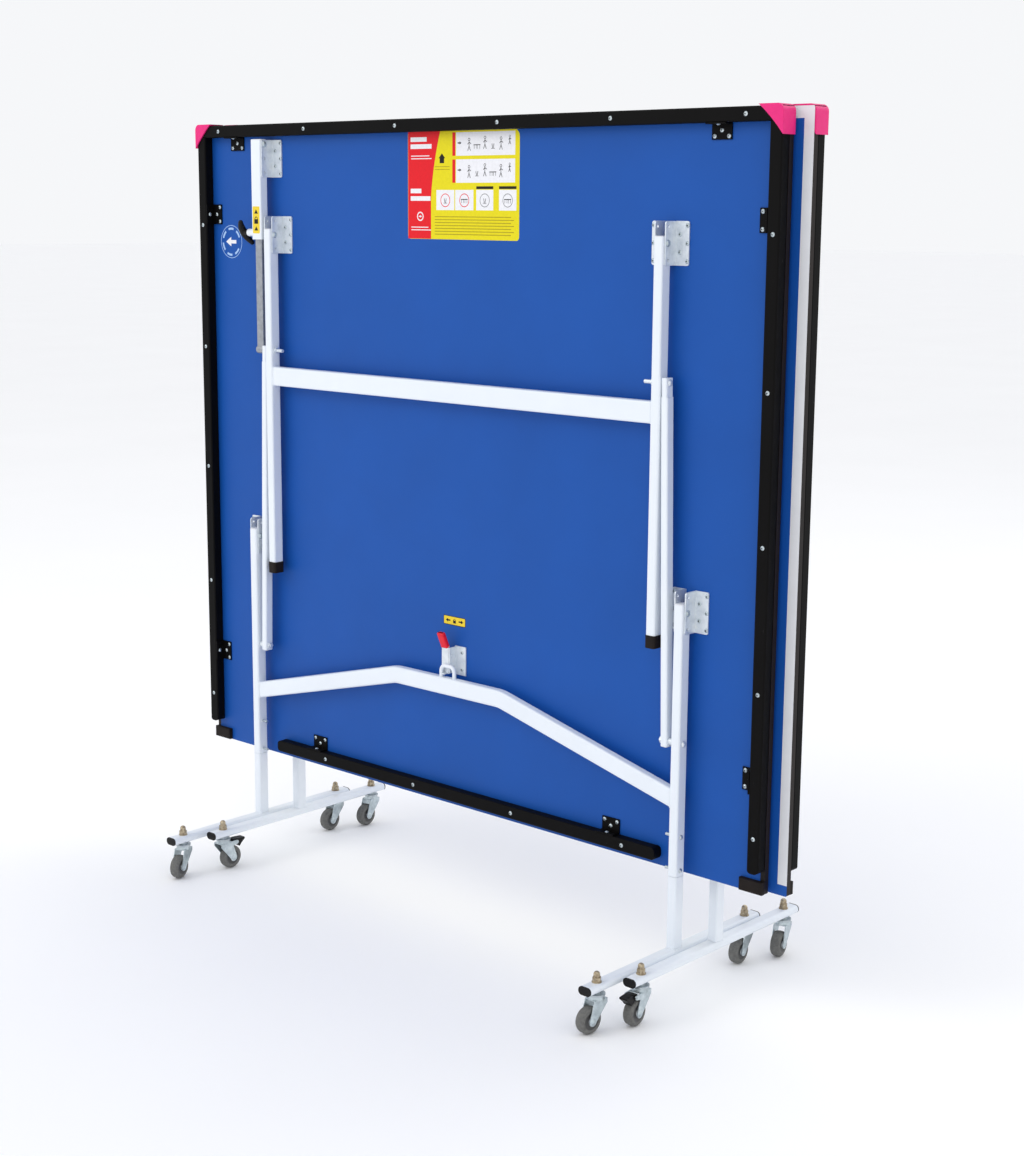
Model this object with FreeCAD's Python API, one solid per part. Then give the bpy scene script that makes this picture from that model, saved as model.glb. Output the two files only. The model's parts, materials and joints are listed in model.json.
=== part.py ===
"""Two-piece rollaway table tennis table, folded for storage, in millimetres.

Each half is a wheeled trolley with a tabletop hinged on its two posts, a pair of
fold-out legs, two parallel link bars and a telescopic lock strut.  The near half
is built about its own centre; the far half is the same half turned 180 degrees
about the vertical axis.  X runs along the baseline, Y from the near half to the
far half, Z up, with the floor at Z = 0.  Only the far half has braked castors.
"""
import FreeCAD, Part
import math
import os

from FreeCAD import Vector

os.makedirs("parts", exist_ok=True)

# ---------------------------------------------------------------- driving sizes
BOARD_WIDTH = 1525.0
BOARD_LENGTH = 1370.0
BOARD_THICK = 12.0
PLAY_HEIGHT = 760.0
FOLDED_GAP = 8.6
HALF_OFFSET_X = 17.0
ORIGIN_SHIFT_Y = 5.2

PIVOT_DEPTH = 25.0
PIVOT_TO_NET_EDGE = 493.0
LEG_PIVOT_FROM_PIVOT = 649.0
LINK_DROP = 242.0
STRUT_PIVOT_FROM_LEG_PIVOT = 186.0

POST_X = 584.0
LINK_LOW_X = 555.5
LINK_HIGH_X = 539.0
STRUT_X = 555.4
LEG_X = 521.0

TUBE_WIDTH = 20.0
TUBE_DEPTH = 25.0
TUBE_WALL = 1.5
TUBE_RADIUS = 4.0

BOLT_R = 4.0
RUNNING_GAP = 0.06

APRON_WIDTH = 25.0
APRON_DEPTH = 22.0
APRON_WALL = 1.2

RAIL_LENGTH = 508.0
RAIL_WIDTH = 28.0
RAIL_HEIGHT = 16.0
RAIL_BOTTOM = 75.0
CASTOR_SPACING = 445.6

WHEEL_R = 25.0
WHEEL_WIDTH = 20.0
CASTOR_TRAIL = 19.0

# ------------------------------------------------------------- derived positions
PLAY_Y = -FOLDED_GAP / 2
UNDER_Y = PLAY_Y - BOARD_THICK
FRAME_Y = UNDER_Y - PIVOT_DEPTH
PIVOT_Z = PLAY_HEIGHT - BOARD_THICK - PIVOT_DEPTH
NET_EDGE_Z = PIVOT_Z - PIVOT_TO_NET_EDGE
BASELINE_Z = NET_EDGE_Z + BOARD_LENGTH
LEG_PIVOT_Z = PIVOT_Z + LEG_PIVOT_FROM_PIVOT
LINK_LOW_Z = PIVOT_Z - LINK_DROP
LINK_HIGH_Z = LEG_PIVOT_Z - LINK_DROP
STRUT_PIVOT_Z = LEG_PIVOT_Z + STRUT_PIVOT_FROM_LEG_PIVOT
LEG_BOTTOM_Z = LEG_PIVOT_Z - PIVOT_Z
RAIL_Z = RAIL_BOTTOM + RAIL_HEIGHT / 2
RAIL_TOP = RAIL_BOTTOM + RAIL_HEIGHT
HALF_WIDTH = BOARD_WIDTH / 2
APRON_FRONT_Y = UNDER_Y - APRON_DEPTH

X_AXIS = Vector(1, 0, 0)
Y_AXIS = Vector(0, 1, 0)
Z_AXIS = Vector(0, 0, 1)
ORIGIN = Vector(0, 0, 0)


# ------------------------------------------------------------------ basic shapes
def box(low, high):
    """Box between two corners."""
    size = [high[i] - low[i] for i in range(3)]
    return Part.makeBox(size[0], size[1], size[2], Vector(*low))


def cylinder(start, direction, radius, length):
    return Part.makeCylinder(radius, length, Vector(*start), direction)


def fused(shapes):
    """One solid from overlapping or touching shapes."""
    result = shapes[0].multiFuse(shapes[1:]) if len(shapes) > 1 else shapes[0]
    return result.removeSplitter()


def rounded_outline(width, height, radius):
    """Closed wire of a rounded rectangle in the XY plane, centred on the origin."""
    straight_x = width / 2 - radius
    straight_y = height / 2 - radius
    edges = []
    corners = [(straight_x, straight_y), (-straight_x, straight_y),
               (-straight_x, -straight_y), (straight_x, -straight_y)]
    for index, (cx, cy) in enumerate(corners):
        start = math.radians(90 * index)
        points = [Vector(cx + radius * math.cos(start + turn),
                         cy + radius * math.sin(start + turn), 0)
                  for turn in (0, math.pi / 4, math.pi / 2)]
        edges.append(Part.Arc(points[0], points[1], points[2]).toShape())
        next_x, next_y = corners[(index + 1) % 4]
        end = math.radians(90 * (index + 1))
        after = Vector(next_x + radius * math.cos(end), next_y + radius * math.sin(end), 0)
        if points[2].distanceToPoint(after) > 1e-6:
            edges.append(Part.LineSegment(points[2], after).toShape())
    return Part.Wire(edges)


def rounded_bar(width, height, radius, length):
    """Solid rounded bar standing on the origin along +Z."""
    return Part.Face(rounded_outline(width, height, radius)).extrude(Vector(0, 0, length))


def rounded_tube(width, height, radius, wall, length):
    """Hollow rounded tube with open ends, standing on the origin along +Z."""
    outer = rounded_bar(width, height, radius, length)
    inner_radius = max(radius - wall, 0.5)
    inner = rounded_bar(width - 2 * wall, height - 2 * wall, inner_radius, length + 2)
    inner.translate(Vector(0, 0, -1))
    return outer.cut(inner)


def upright(shape, x, y, z):
    """Move a shape that stands on the origin to a place."""
    moved = shape.copy()
    moved.translate(Vector(x, y, z))
    return moved


def along_y(shape, x, y, z):
    """Lay a +Z shape along +Y, its start at the given place."""
    laid = shape.copy()
    laid.rotate(ORIGIN, X_AXIS, -90)
    laid.translate(Vector(x, y, z))
    return laid


def along_x(shape, x, y, z):
    """Lay a +Z shape along +X with its width upright, its start at the given place."""
    laid = shape.copy()
    laid.rotate(ORIGIN, Y_AXIS, 90)
    laid.translate(Vector(x, y, z))
    return laid


def plate_yz(points, x_low, thickness):
    """Prism of a (y, z) outline, extruded along +X."""
    corners = [Vector(x_low, y, z) for y, z in points]
    face = Part.Face(Part.makePolygon(corners + corners[:1]))
    return face.extrude(Vector(thickness, 0, 0))


def swept(profile, path):
    """Solid swept from a closed wire along a planar path wire."""
    return path.makePipeShell([profile], True, False)


def circle_wire(centre, normal, radius):
    return Part.Wire(Part.makeCircle(radius, centre, normal))


def domed_head(radius, height):
    """Domed head standing on the origin, round side towards +Z."""
    sphere_r = (radius ** 2 + height ** 2) / (2 * height)
    ball = Part.makeSphere(sphere_r, Vector(0, 0, height - sphere_r))
    return ball.common(Part.makeCylinder(radius + 1, height))


def cross_bolt(x_head, x_tail, y, z, radius=BOLT_R, end="nut", tail=7.2):
    """Bolt along X with a domed head at x_head and, at x_tail, a nut, a low cap or nothing."""
    side = 1 if x_head > x_tail else -1
    low = min(x_head, x_tail)
    shank = cylinder((low, y, z), X_AXIS, radius, abs(x_head - x_tail))
    head = domed_head(radius * 1.6, radius)
    head.rotate(ORIGIN, Y_AXIS, 90 * side)
    head.translate(Vector(x_head, y, z))
    pieces = [shank, head]
    if end == "cap":
        cap = domed_head(radius * 1.6, 2.4)
        cap.rotate(ORIGIN, Y_AXIS, -90 * side)
        cap.translate(Vector(x_tail, y, z))
        pieces.append(cap)
    if end == "nut":
        nut_corners = [Vector(x_tail, y + radius * 1.7 * math.cos(math.radians(60 * k)),
                              z + radius * 1.7 * math.sin(math.radians(60 * k)))
                       for k in range(6)]
        nut_face = Part.Face(Part.makePolygon(nut_corners + nut_corners[:1]))
        pieces.append(nut_face.extrude(Vector(-side * radius * 1.2, 0, 0)))
        pieces.append(cylinder((x_tail - side * tail, y, z), X_AXIS * side, radius * 0.9, tail))
    return fused(pieces)


def x_hole(shape, x_low, x_high, y, z, radius):
    return shape.cut(cylinder((x_low, y, z), X_AXIS, radius, x_high - x_low))


# --------------------------------------------------------------- trolley pieces
def make_foot_rails():
    rails = []
    for side in (-1, 1):
        tube = rounded_tube(RAIL_WIDTH, RAIL_HEIGHT, RAIL_HEIGHT / 2 - 0.5, TUBE_WALL, RAIL_LENGTH)
        rail = along_y(tube, side * POST_X, FRAME_Y - RAIL_LENGTH / 2, RAIL_Z)
        for end in (-1, 1):
            y = FRAME_Y + end * CASTOR_SPACING / 2
            rail = rail.cut(cylinder((side * POST_X, y, RAIL_BOTTOM - 1), Z_AXIS,
                                     STEM_R + RUNNING_GAP, RAIL_HEIGHT + 2))
        rails.append(rail)
    return rails


def make_rail_end_caps():
    """Black plugs with a flush oval head in each rail end."""
    caps = []
    head_thick = 2.5
    plug_length = 12.0
    for side in (-1, 1):
        for end in (-1, 1):
            head = rounded_bar(RAIL_WIDTH, RAIL_HEIGHT, RAIL_HEIGHT / 2 - 0.5, head_thick)
            plug = rounded_bar(RAIL_WIDTH - 2 * TUBE_WALL - 0.4, RAIL_HEIGHT - 2 * TUBE_WALL - 0.4,
                               RAIL_HEIGHT / 2 - 2.5, plug_length)
            plug.translate(Vector(0, 0, head_thick - 0.5))
            cap = fused([head, plug])
            if end > 0:
                cap.rotate(ORIGIN, X_AXIS, 180)
            y = FRAME_Y + end * (RAIL_LENGTH / 2 + head_thick)
            caps.append(along_y(cap, side * POST_X, y, RAIL_Z))
    return caps


STEM_R = 5.0
STUB_TOP_Z = 230.0
POST_TOP_Z = PIVOT_Z + 15.0
POST_BOLT_Z = (241.0, 305.0)
SPIGOT_LOW_Z = 150.0
SPIGOT_TOP_Z = 322.0


def make_posts():
    """Two-part posts: a stub welded on the rail, an inner spigot and the upper post."""
    posts = []
    for side in (-1, 1):
        stub_low = RAIL_TOP - 6.0
        stub = upright(rounded_tube(TUBE_WIDTH, TUBE_DEPTH, TUBE_RADIUS, TUBE_WALL,
                                    STUB_TOP_Z - stub_low), side * POST_X, FRAME_Y, stub_low)
        rail_core = along_y(rounded_bar(RAIL_WIDTH, RAIL_HEIGHT, RAIL_HEIGHT / 2 - 0.5, 200),
                            side * POST_X, FRAME_Y - 100, RAIL_Z)
        posts.append(stub.cut(rail_core))
        seam = 0.6
        post = upright(rounded_tube(TUBE_WIDTH, TUBE_DEPTH, TUBE_RADIUS, TUBE_WALL,
                                    POST_TOP_Z - STUB_TOP_Z - seam),
                       side * POST_X, FRAME_Y, STUB_TOP_Z + seam)
        reach = TUBE_WIDTH
        low, high = side * POST_X - reach, side * POST_X + reach
        post = x_hole(post, low, high, FRAME_Y, PIVOT_Z, BOLT_R + RUNNING_GAP)
        post = x_hole(post, low, high, FRAME_Y, LINK_LOW_Z, BOLT_R + RUNNING_GAP)
        spigot = upright(rounded_tube(TUBE_WIDTH - 2 * TUBE_WALL - 0.4, TUBE_DEPTH - 2 * TUBE_WALL - 0.4,
                                      TUBE_RADIUS - TUBE_WALL, TUBE_WALL, SPIGOT_TOP_Z - SPIGOT_LOW_Z),
                         side * POST_X, FRAME_Y, SPIGOT_LOW_Z)
        for z in POST_BOLT_Z:
            post = x_hole(post, low, high, FRAME_Y, z, POST_BOLT_R)
            spigot = x_hole(spigot, low, high, FRAME_Y, z, POST_BOLT_R)
        posts.append(post)
        posts.append(spigot)
    return posts


POST_BOLT_R = 3.0
CROSS_TUBE_HEIGHT = 35.0
CROSS_TUBE_DEPTH = 20.0
CROSS_FLAT_HALF = 146.0
CROSS_MIDDLE_Z = 485.5
CROSS_END_Z = 377.0
CROSS_BEND_RADIUS = 90.0


def make_cross_tube():
    """Arched tube between the posts: a level middle and two sloping ends."""
    end_x = POST_X - TUBE_WIDTH / 2
    slope = math.atan2(CROSS_MIDDLE_Z - CROSS_END_Z, end_x - CROSS_FLAT_HALF)
    tangent = CROSS_BEND_RADIUS * math.tan(slope / 2)

    def at(x, z):
        return Vector(x, FRAME_Y, z)

    left_in = at(-CROSS_FLAT_HALF - tangent * math.cos(slope), CROSS_MIDDLE_Z - tangent * math.sin(slope))
    left_out = at(-CROSS_FLAT_HALF + tangent, CROSS_MIDDLE_Z)
    bulge_x = CROSS_FLAT_HALF - tangent + CROSS_BEND_RADIUS * math.sin(slope / 2)
    bulge_z = CROSS_MIDDLE_Z - CROSS_BEND_RADIUS * (1 - math.cos(slope / 2))
    right_in = at(CROSS_FLAT_HALF - tangent, CROSS_MIDDLE_Z)
    right_out = at(CROSS_FLAT_HALF + tangent * math.cos(slope), CROSS_MIDDLE_Z - tangent * math.sin(slope))
    path = Part.Wire([
        Part.LineSegment(at(-end_x - 15, CROSS_END_Z - 15 * math.tan(slope)), left_in).toShape(),
        Part.Arc(left_in, at(-bulge_x, bulge_z), left_out).toShape(),
        Part.LineSegment(left_out, right_in).toShape(),
        Part.Arc(right_in, at(bulge_x, bulge_z), right_out).toShape(),
        Part.LineSegment(right_out, at(end_x + 15, CROSS_END_Z - 15 * math.tan(slope))).toShape()])

    def profile(shrink):
        outline = rounded_outline(CROSS_TUBE_HEIGHT - 2 * shrink, CROSS_TUBE_DEPTH - 2 * shrink,
                                  5.0 - shrink)
        outline.rotate(ORIGIN, Y_AXIS, 90)
        outline.rotate(ORIGIN, Y_AXIS, -math.degrees(slope))
        outline.translate(at(-end_x - 15, CROSS_END_Z - 15 * math.tan(slope)))
        return outline

    tube = swept(profile(0), path).cut(swept(profile(TUBE_WALL), path))
    between_posts = box((-end_x, FRAME_Y - 40, 200), (end_x, FRAME_Y + 40, 700))
    return tube.common(between_posts)


LOOP_BAR_R = 4.0
LOOP_HALF_WIDTH = 18.0
LOOP_RISE = 23.0
LOOP_CORNER_R = 11.0


def make_striker_loop():
    """Round-bar loop welded on the arch for the latch to catch."""
    base = CROSS_MIDDLE_Z + CROSS_TUBE_HEIGHT / 2
    top = base + LOOP_RISE
    half = LOOP_HALF_WIDTH
    corner = LOOP_CORNER_R
    diagonal = corner * (1 - math.sqrt(0.5))

    def at(x, z):
        return Vector(x, FRAME_Y, z)

    path = Part.Wire([
        Part.LineSegment(at(-half, base), at(-half, top - corner)).toShape(),
        Part.Arc(at(-half, top - corner), at(-half + diagonal, top - diagonal),
                 at(-half + corner, top)).toShape(),
        Part.LineSegment(at(-half + corner, top), at(half - corner, top)).toShape(),
        Part.Arc(at(half - corner, top), at(half - diagonal, top - diagonal),
                 at(half, top - corner)).toShape(),
        Part.LineSegment(at(half, top - corner), at(half, base)).toShape()])
    return swept(circle_wire(at(-half, base), Z_AXIS, LOOP_BAR_R), path)


def make_castor_stem():
    """Fixed half of a castor: top race, threaded stem and dome nut, axis on Z."""
    race = cylinder((0, 0, RACE_LOW_Z), Z_AXIS, RACE_R, 3.0)
    collar = cylinder((0, 0, RACE_LOW_Z + 3.0), Z_AXIS, 8.5, RAIL_BOTTOM - RACE_LOW_Z - 3.0)
    stem = cylinder((0, 0, RACE_LOW_Z), Z_AXIS, STEM_R, RAIL_TOP + 6 - RACE_LOW_Z)
    neck = cylinder((0, 0, RAIL_TOP + 9.6), Z_AXIS, 6.0, 5.0)
    kingpin = cylinder((0, 0, CROWN_LOW_Z - 1.0), Z_AXIS, KINGPIN_R, RACE_LOW_Z - CROWN_LOW_Z + 2.0)
    washer = cylinder((0, 0, RAIL_TOP), Z_AXIS, 9.0, 1.6)
    hexagon = [Vector(8.2 * math.cos(math.radians(60 * k)), 8.2 * math.sin(math.radians(60 * k)),
                      RAIL_TOP + 1.6) for k in range(6)]
    nut = Part.Face(Part.makePolygon(hexagon + hexagon[:1])).extrude(Vector(0, 0, 8.0))
    dome = Part.makeSphere(6.0, Vector(0, 0, RAIL_TOP + 14.6))
    return fused([race, collar, stem, kingpin, washer, nut, neck, dome])


def make_trolley_bolts():
    bolts = []
    for side in (-1, 1):
        for end in (-1, 1):
            y = FRAME_Y + end * CASTOR_SPACING / 2
            bolts.append(upright(make_castor_stem(), side * POST_X, y, 0))
        for z in POST_BOLT_Z:
            head_x = side * (POST_X + TUBE_WIDTH / 2)
            tail_x = side * (POST_X - TUBE_WIDTH / 2 - 14.0)
            bolts.append(cross_bolt(head_x, tail_x, FRAME_Y, z, POST_BOLT_R, end="plain"))
    return bolts


# ----------------------------------------------------------------- castor pieces
RACE_LOW_Z = 68.0
RACE_R = 16.0
CROWN_LOW_Z = 60.0
KINGPIN_R = 4.5
FORK_INNER = 11.0
FORK_SHEET = 2.0
AXLE_R = 4.0
AXLE_HEAD_HEIGHT = 2.4
AXLE_PLATE_R = 8.5
PEDAL_PIVOT = (-29.0, 58.0)
PEDAL_PIN_R = 2.0
PEDAL_HALF_WIDTH = 8.5


def make_axle(half):
    """Wheel axle: a bolt across the fork with low domed ends."""
    axle = cylinder((-half, -CASTOR_TRAIL, WHEEL_R), X_AXIS, AXLE_R, 2 * half)
    ends = []
    for side in (-1, 1):
        end = domed_head(6.2, AXLE_HEAD_HEIGHT)
        end.rotate(ORIGIN, Y_AXIS, 90 * side)
        end.translate(Vector(side * half, -CASTOR_TRAIL, WHEEL_R))
        ends.append(end)
    return fused([axle] + ends)


def make_castor_fork(braked):
    """Swivelling fork, trailing towards -Y, with its axle; a braked one has pedal lugs."""
    plates = []
    outline = [(-15, 62), (15, 62), (15, 54), (-CASTOR_TRAIL + 8.2, 22.8),
               (-CASTOR_TRAIL - 8.4, 26.3)]
    for x_low in (-FORK_INNER - FORK_SHEET, FORK_INNER):
        plate = [plate_yz(outline, x_low, FORK_SHEET),
                 cylinder((x_low, -CASTOR_TRAIL, WHEEL_R), X_AXIS, AXLE_PLATE_R, FORK_SHEET)]
        if braked:
            lug = [(-12, 62), (PEDAL_PIVOT[0], 62), (PEDAL_PIVOT[0], 53.5), (-12, 50)]
            plate.append(plate_yz(lug, x_low, FORK_SHEET))
            plate.append(cylinder((x_low, PEDAL_PIVOT[0], PEDAL_PIVOT[1] - 0.25), X_AXIS, 4.25,
                                  FORK_SHEET))
        plates.append(fused(plate))
    half = FORK_INNER + FORK_SHEET
    crown = box((-half, -15, CROWN_LOW_Z), (half, 15, CROWN_LOW_Z + FORK_SHEET))
    cup = Part.makeCone(15.5, 14.0, RACE_LOW_Z - 0.5 - CROWN_LOW_Z, Vector(0, 0, CROWN_LOW_Z))
    fork = fused(plates + [crown, cup])
    fork = fork.cut(cylinder((0, 0, CROWN_LOW_Z - 5), Z_AXIS, KINGPIN_R + RUNNING_GAP, 20))
    axle = make_axle(half)
    fork = fork.cut(cylinder((-half - 1, -CASTOR_TRAIL, WHEEL_R), X_AXIS, AXLE_R, 2 * half + 2))
    solids = [fork, axle]
    if braked:
        pin = cylinder((-half - 1.0, PEDAL_PIVOT[0], PEDAL_PIVOT[1]), X_AXIS, PEDAL_PIN_R,
                       2 * half + 2)
        solids[0] = fork.cut(pin)
        solids.append(pin)
    return solids


def make_castor_wheel():
    """Grey tyre on a hub, one turned solid about X with a running bore."""
    half = WHEEL_WIDTH / 2
    profile = [(AXLE_R + RUNNING_GAP, -half - 0.8), (8.0, -half - 0.8), (8.5, -half + 1.6),
               (14.5, -half + 2.4), (16.0, -half + 0.6), (20.5, -half + 0.6), (23.6, -half + 2.6),
               (WHEEL_R, -half + 6.0), (WHEEL_R, half - 6.0), (23.6, half - 2.6),
               (20.5, half - 0.6), (16.0, half - 0.6), (14.5, half - 2.4), (8.5, half - 1.6),
               (8.0, half + 0.8), (AXLE_R + RUNNING_GAP, half + 0.8)]
    corners = [Vector(x, 0, radius) for radius, x in profile]
    face = Part.Face(Part.makePolygon(corners + corners[:1]))
    wheel = face.revolve(ORIGIN, X_AXIS, 360)
    wheel.translate(Vector(0, -CASTOR_TRAIL, WHEEL_R))
    return wheel


def make_brake_pedal():
    """Foot pedal above the wheel with a brake block under it."""
    outline = [(-22.5, 60.5), (-22.5, 56.0), (-26.0, 53.4), (-33.0, 48.6), (-39.6, 44.9),
               (-44.0, 50.5), (-55.0, 59.6), (-55.0, 62.0), (-33.0, 63.8), (-24.0, 63.0)]
    pedal = plate_yz(outline, -PEDAL_HALF_WIDTH, 2 * PEDAL_HALF_WIDTH)
    tip_edges = [edge for edge in pedal.Edges
                 if edge.BoundBox.YMax < -54.9 and edge.BoundBox.XLength < 0.01]
    pedal = pedal.makeFillet(1.0, tip_edges)
    hub_half = FORK_INNER - 0.6
    hub = cylinder((-hub_half, PEDAL_PIVOT[0], PEDAL_PIVOT[1]), X_AXIS, 4.0, 2 * hub_half)
    bore = cylinder((-hub_half - 1, PEDAL_PIVOT[0], PEDAL_PIVOT[1]), X_AXIS,
                    PEDAL_PIN_R + RUNNING_GAP, 2 * hub_half + 2)
    return fused([pedal, hub]).cut(bore)


# ----------------------------------------------------------------- top-half pieces
def make_tabletop():
    board = box((-HALF_WIDTH, UNDER_Y, NET_EDGE_Z), (HALF_WIDTH, PLAY_Y, BASELINE_Z))
    corner_edges = [edge for edge in board.Edges
                    if abs(edge.tangentAt(edge.FirstParameter).y) > 0.99]
    return board.makeFillet(3.0, corner_edges)


APRON_SIDE_RISE = 42.0
APRON_NET_RISE = 13.0
APRON_NET_HALF = 530.0
APRON_PLUG = 12.0


def end_rounder(low, high):
    """Block over an (x, z) area whose four corners are rounded, to round rail ends with."""
    block = box((low[0], UNDER_Y - APRON_DEPTH - 1, low[1]), (high[0], UNDER_Y + 1, high[1]))
    corners = [edge for edge in block.Edges if abs(edge.tangentAt(edge.FirstParameter).y) > 0.99]
    return block.makeFillet(9.0, corners)


def make_apron_rails():
    """Steel section under the baseline, both sides and, shorter, the net edge."""
    side_low = NET_EDGE_Z + APRON_SIDE_RISE
    mid_y = UNDER_Y - APRON_DEPTH / 2
    rails = []
    top = rounded_tube(APRON_WIDTH, APRON_DEPTH, 3.0, APRON_WALL, BOARD_WIDTH)
    rails.append(along_x(top, -HALF_WIDTH, mid_y, BASELINE_Z - APRON_WIDTH / 2))
    for side in (-1, 1):
        length = BASELINE_Z - APRON_WIDTH - side_low
        section = rounded_tube(APRON_WIDTH, APRON_DEPTH, 3.0, APRON_WALL, length)
        rail = fused([section, rounded_bar(APRON_WIDTH, APRON_DEPTH, 3.0, APRON_PLUG)])
        rail = upright(rail, side * (HALF_WIDTH - APRON_WIDTH / 2), mid_y, side_low)
        outer = side * HALF_WIDTH
        x_low, x_high = sorted((outer, outer - side * APRON_WIDTH))
        rails.append(rail.common(end_rounder((x_low, side_low), (x_high, BASELINE_Z + 50))))
    plug = rounded_bar(APRON_WIDTH, APRON_DEPTH, 3.0, APRON_PLUG)
    far_plug = upright(plug, 0, 0, 2 * APRON_NET_HALF - APRON_PLUG)
    net = fused([rounded_tube(APRON_WIDTH, APRON_DEPTH, 3.0, APRON_WALL, 2 * APRON_NET_HALF), plug,
                 far_plug])
    net_low = NET_EDGE_Z + APRON_NET_RISE
    net = along_x(net, -APRON_NET_HALF, mid_y, net_low + APRON_WIDTH / 2)
    rails.append(net.common(end_rounder((-APRON_NET_HALF, net_low),
                                        (APRON_NET_HALF, net_low + APRON_WIDTH))))
    return rails


# Each joint plate's place along its apron section: x, or z from the net edge on the sides.
PLATE_REACH = 28.0
PLATE_LENGTH = 42.0
PLATE_THICK = 2.5
PLATE_PLACES = [(-652.0, "top"), (626.0, "top"), (-410.0, "net"), (410.0, "net"),
                (1183.0, "left"), (1183.0, "right"), (208.0, "left"), (208.0, "right")]


def plate_frame(along, where):
    """Centre of a plate's apron edge and its inward direction, as (x, z, dx, dz)."""
    if where == "top":
        return along, BASELINE_Z - APRON_WIDTH, 0, -1
    if where == "net":
        return along, NET_EDGE_Z + APRON_NET_RISE + APRON_WIDTH, 0, 1
    side = -1 if where == "left" else 1
    return side * (HALF_WIDTH - APRON_WIDTH), NET_EDGE_Z + along, -side, 0


def make_apron_plates():
    """Black angle plates that tie the apron to the board."""
    plates = []
    for along, where in PLATE_PLACES:
        x, z, dx, dz = plate_frame(along, where)
        half = PLATE_LENGTH / 2
        reach_x, reach_z = dx * PLATE_REACH, dz * PLATE_REACH
        thick_x, thick_z = dx * PLATE_THICK, dz * PLATE_THICK
        spread_x, spread_z = abs(dz) * half, abs(dx) * half
        flange_x = sorted((x - spread_x, x + spread_x + reach_x)) if dx == 0 else sorted((x, x + reach_x))
        flange_z = sorted((z, z + reach_z)) if dz != 0 else sorted((z - spread_z, z + spread_z))
        web_x = flange_x if dx == 0 else sorted((x, x + thick_x))
        web_z = flange_z if dz == 0 else sorted((z, z + thick_z))
        flange = box((flange_x[0], UNDER_Y - PLATE_THICK, flange_z[0]), (flange_x[1], UNDER_Y, flange_z[1]))
        web = box((web_x[0], APRON_FRONT_Y, web_z[0]), (web_x[1], UNDER_Y, web_z[1]))
        plates.append(fused([flange, web]))
    return plates


GUARD_REACH = 50.0
GUARD_WALL = 3.0


def make_corner_guards():
    """Moulded guards over both baseline corners of the board and apron."""
    guards = []
    inner = box((-HALF_WIDTH, APRON_FRONT_Y, NET_EDGE_Z), (HALF_WIDTH, PLAY_Y, BASELINE_Z))
    for side in (-1, 1):
        corner_x = side * (HALF_WIDTH + GUARD_WALL)
        corner_z = BASELINE_Z + GUARD_WALL
        radius = 12.0
        outline = Part.Wire([
            Part.LineSegment(Vector(corner_x - side * GUARD_REACH, 0, corner_z),
                             Vector(corner_x - side * radius, 0, corner_z)).toShape(),
            Part.Arc(Vector(corner_x - side * radius, 0, corner_z),
                     Vector(corner_x - side * radius * (1 - math.sqrt(0.5)), 0,
                            corner_z - radius * (1 - math.sqrt(0.5))),
                     Vector(corner_x, 0, corner_z - radius)).toShape(),
            Part.LineSegment(Vector(corner_x, 0, corner_z - radius),
                             Vector(corner_x, 0, corner_z - GUARD_REACH)).toShape(),
            Part.Arc(Vector(corner_x, 0, corner_z - GUARD_REACH),
                     Vector(corner_x - side * GUARD_REACH * 0.47, 0, corner_z - GUARD_REACH * 0.47),
                     Vector(corner_x - side * GUARD_REACH, 0, corner_z)).toShape()])
        block = Part.Face(outline).extrude(Vector(0, PLAY_Y - 0.4 - APRON_FRONT_Y + GUARD_WALL, 0))
        block.translate(Vector(0, APRON_FRONT_Y - GUARD_WALL, 0))
        guards.append(block.cut(inner))
    return guards


BLOCK_DEPTH = 10.0


def make_net_corner_blocks():
    """Rubber bumper blocks at the two net corners."""
    blocks = []
    for side in (-1, 1):
        outer = side * HALF_WIDTH
        x_low, x_high = sorted((outer, outer - side * 50.0))
        block = box((x_low, UNDER_Y - BLOCK_DEPTH, NET_EDGE_Z + 1.0),
                    (x_high, UNDER_Y, NET_EDGE_Z + 25.0))
        front_edges = [edge for edge in block.Edges
                       if edge.BoundBox.YMax < UNDER_Y - BLOCK_DEPTH + 1.0]
        blocks.append(block.makeFillet(3.0, front_edges))
    return blocks


BRACKET_HEIGHT = 77.0
BRACKET_SHEET = 2.5
BRACKET_EAR = 32.0
BRACKET_FLANGE = 30.0
BRACKET_GAP = 0.5
EAR_HOLE_RISE = 29.0
EAR_HOLE_R = 2.6


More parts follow.
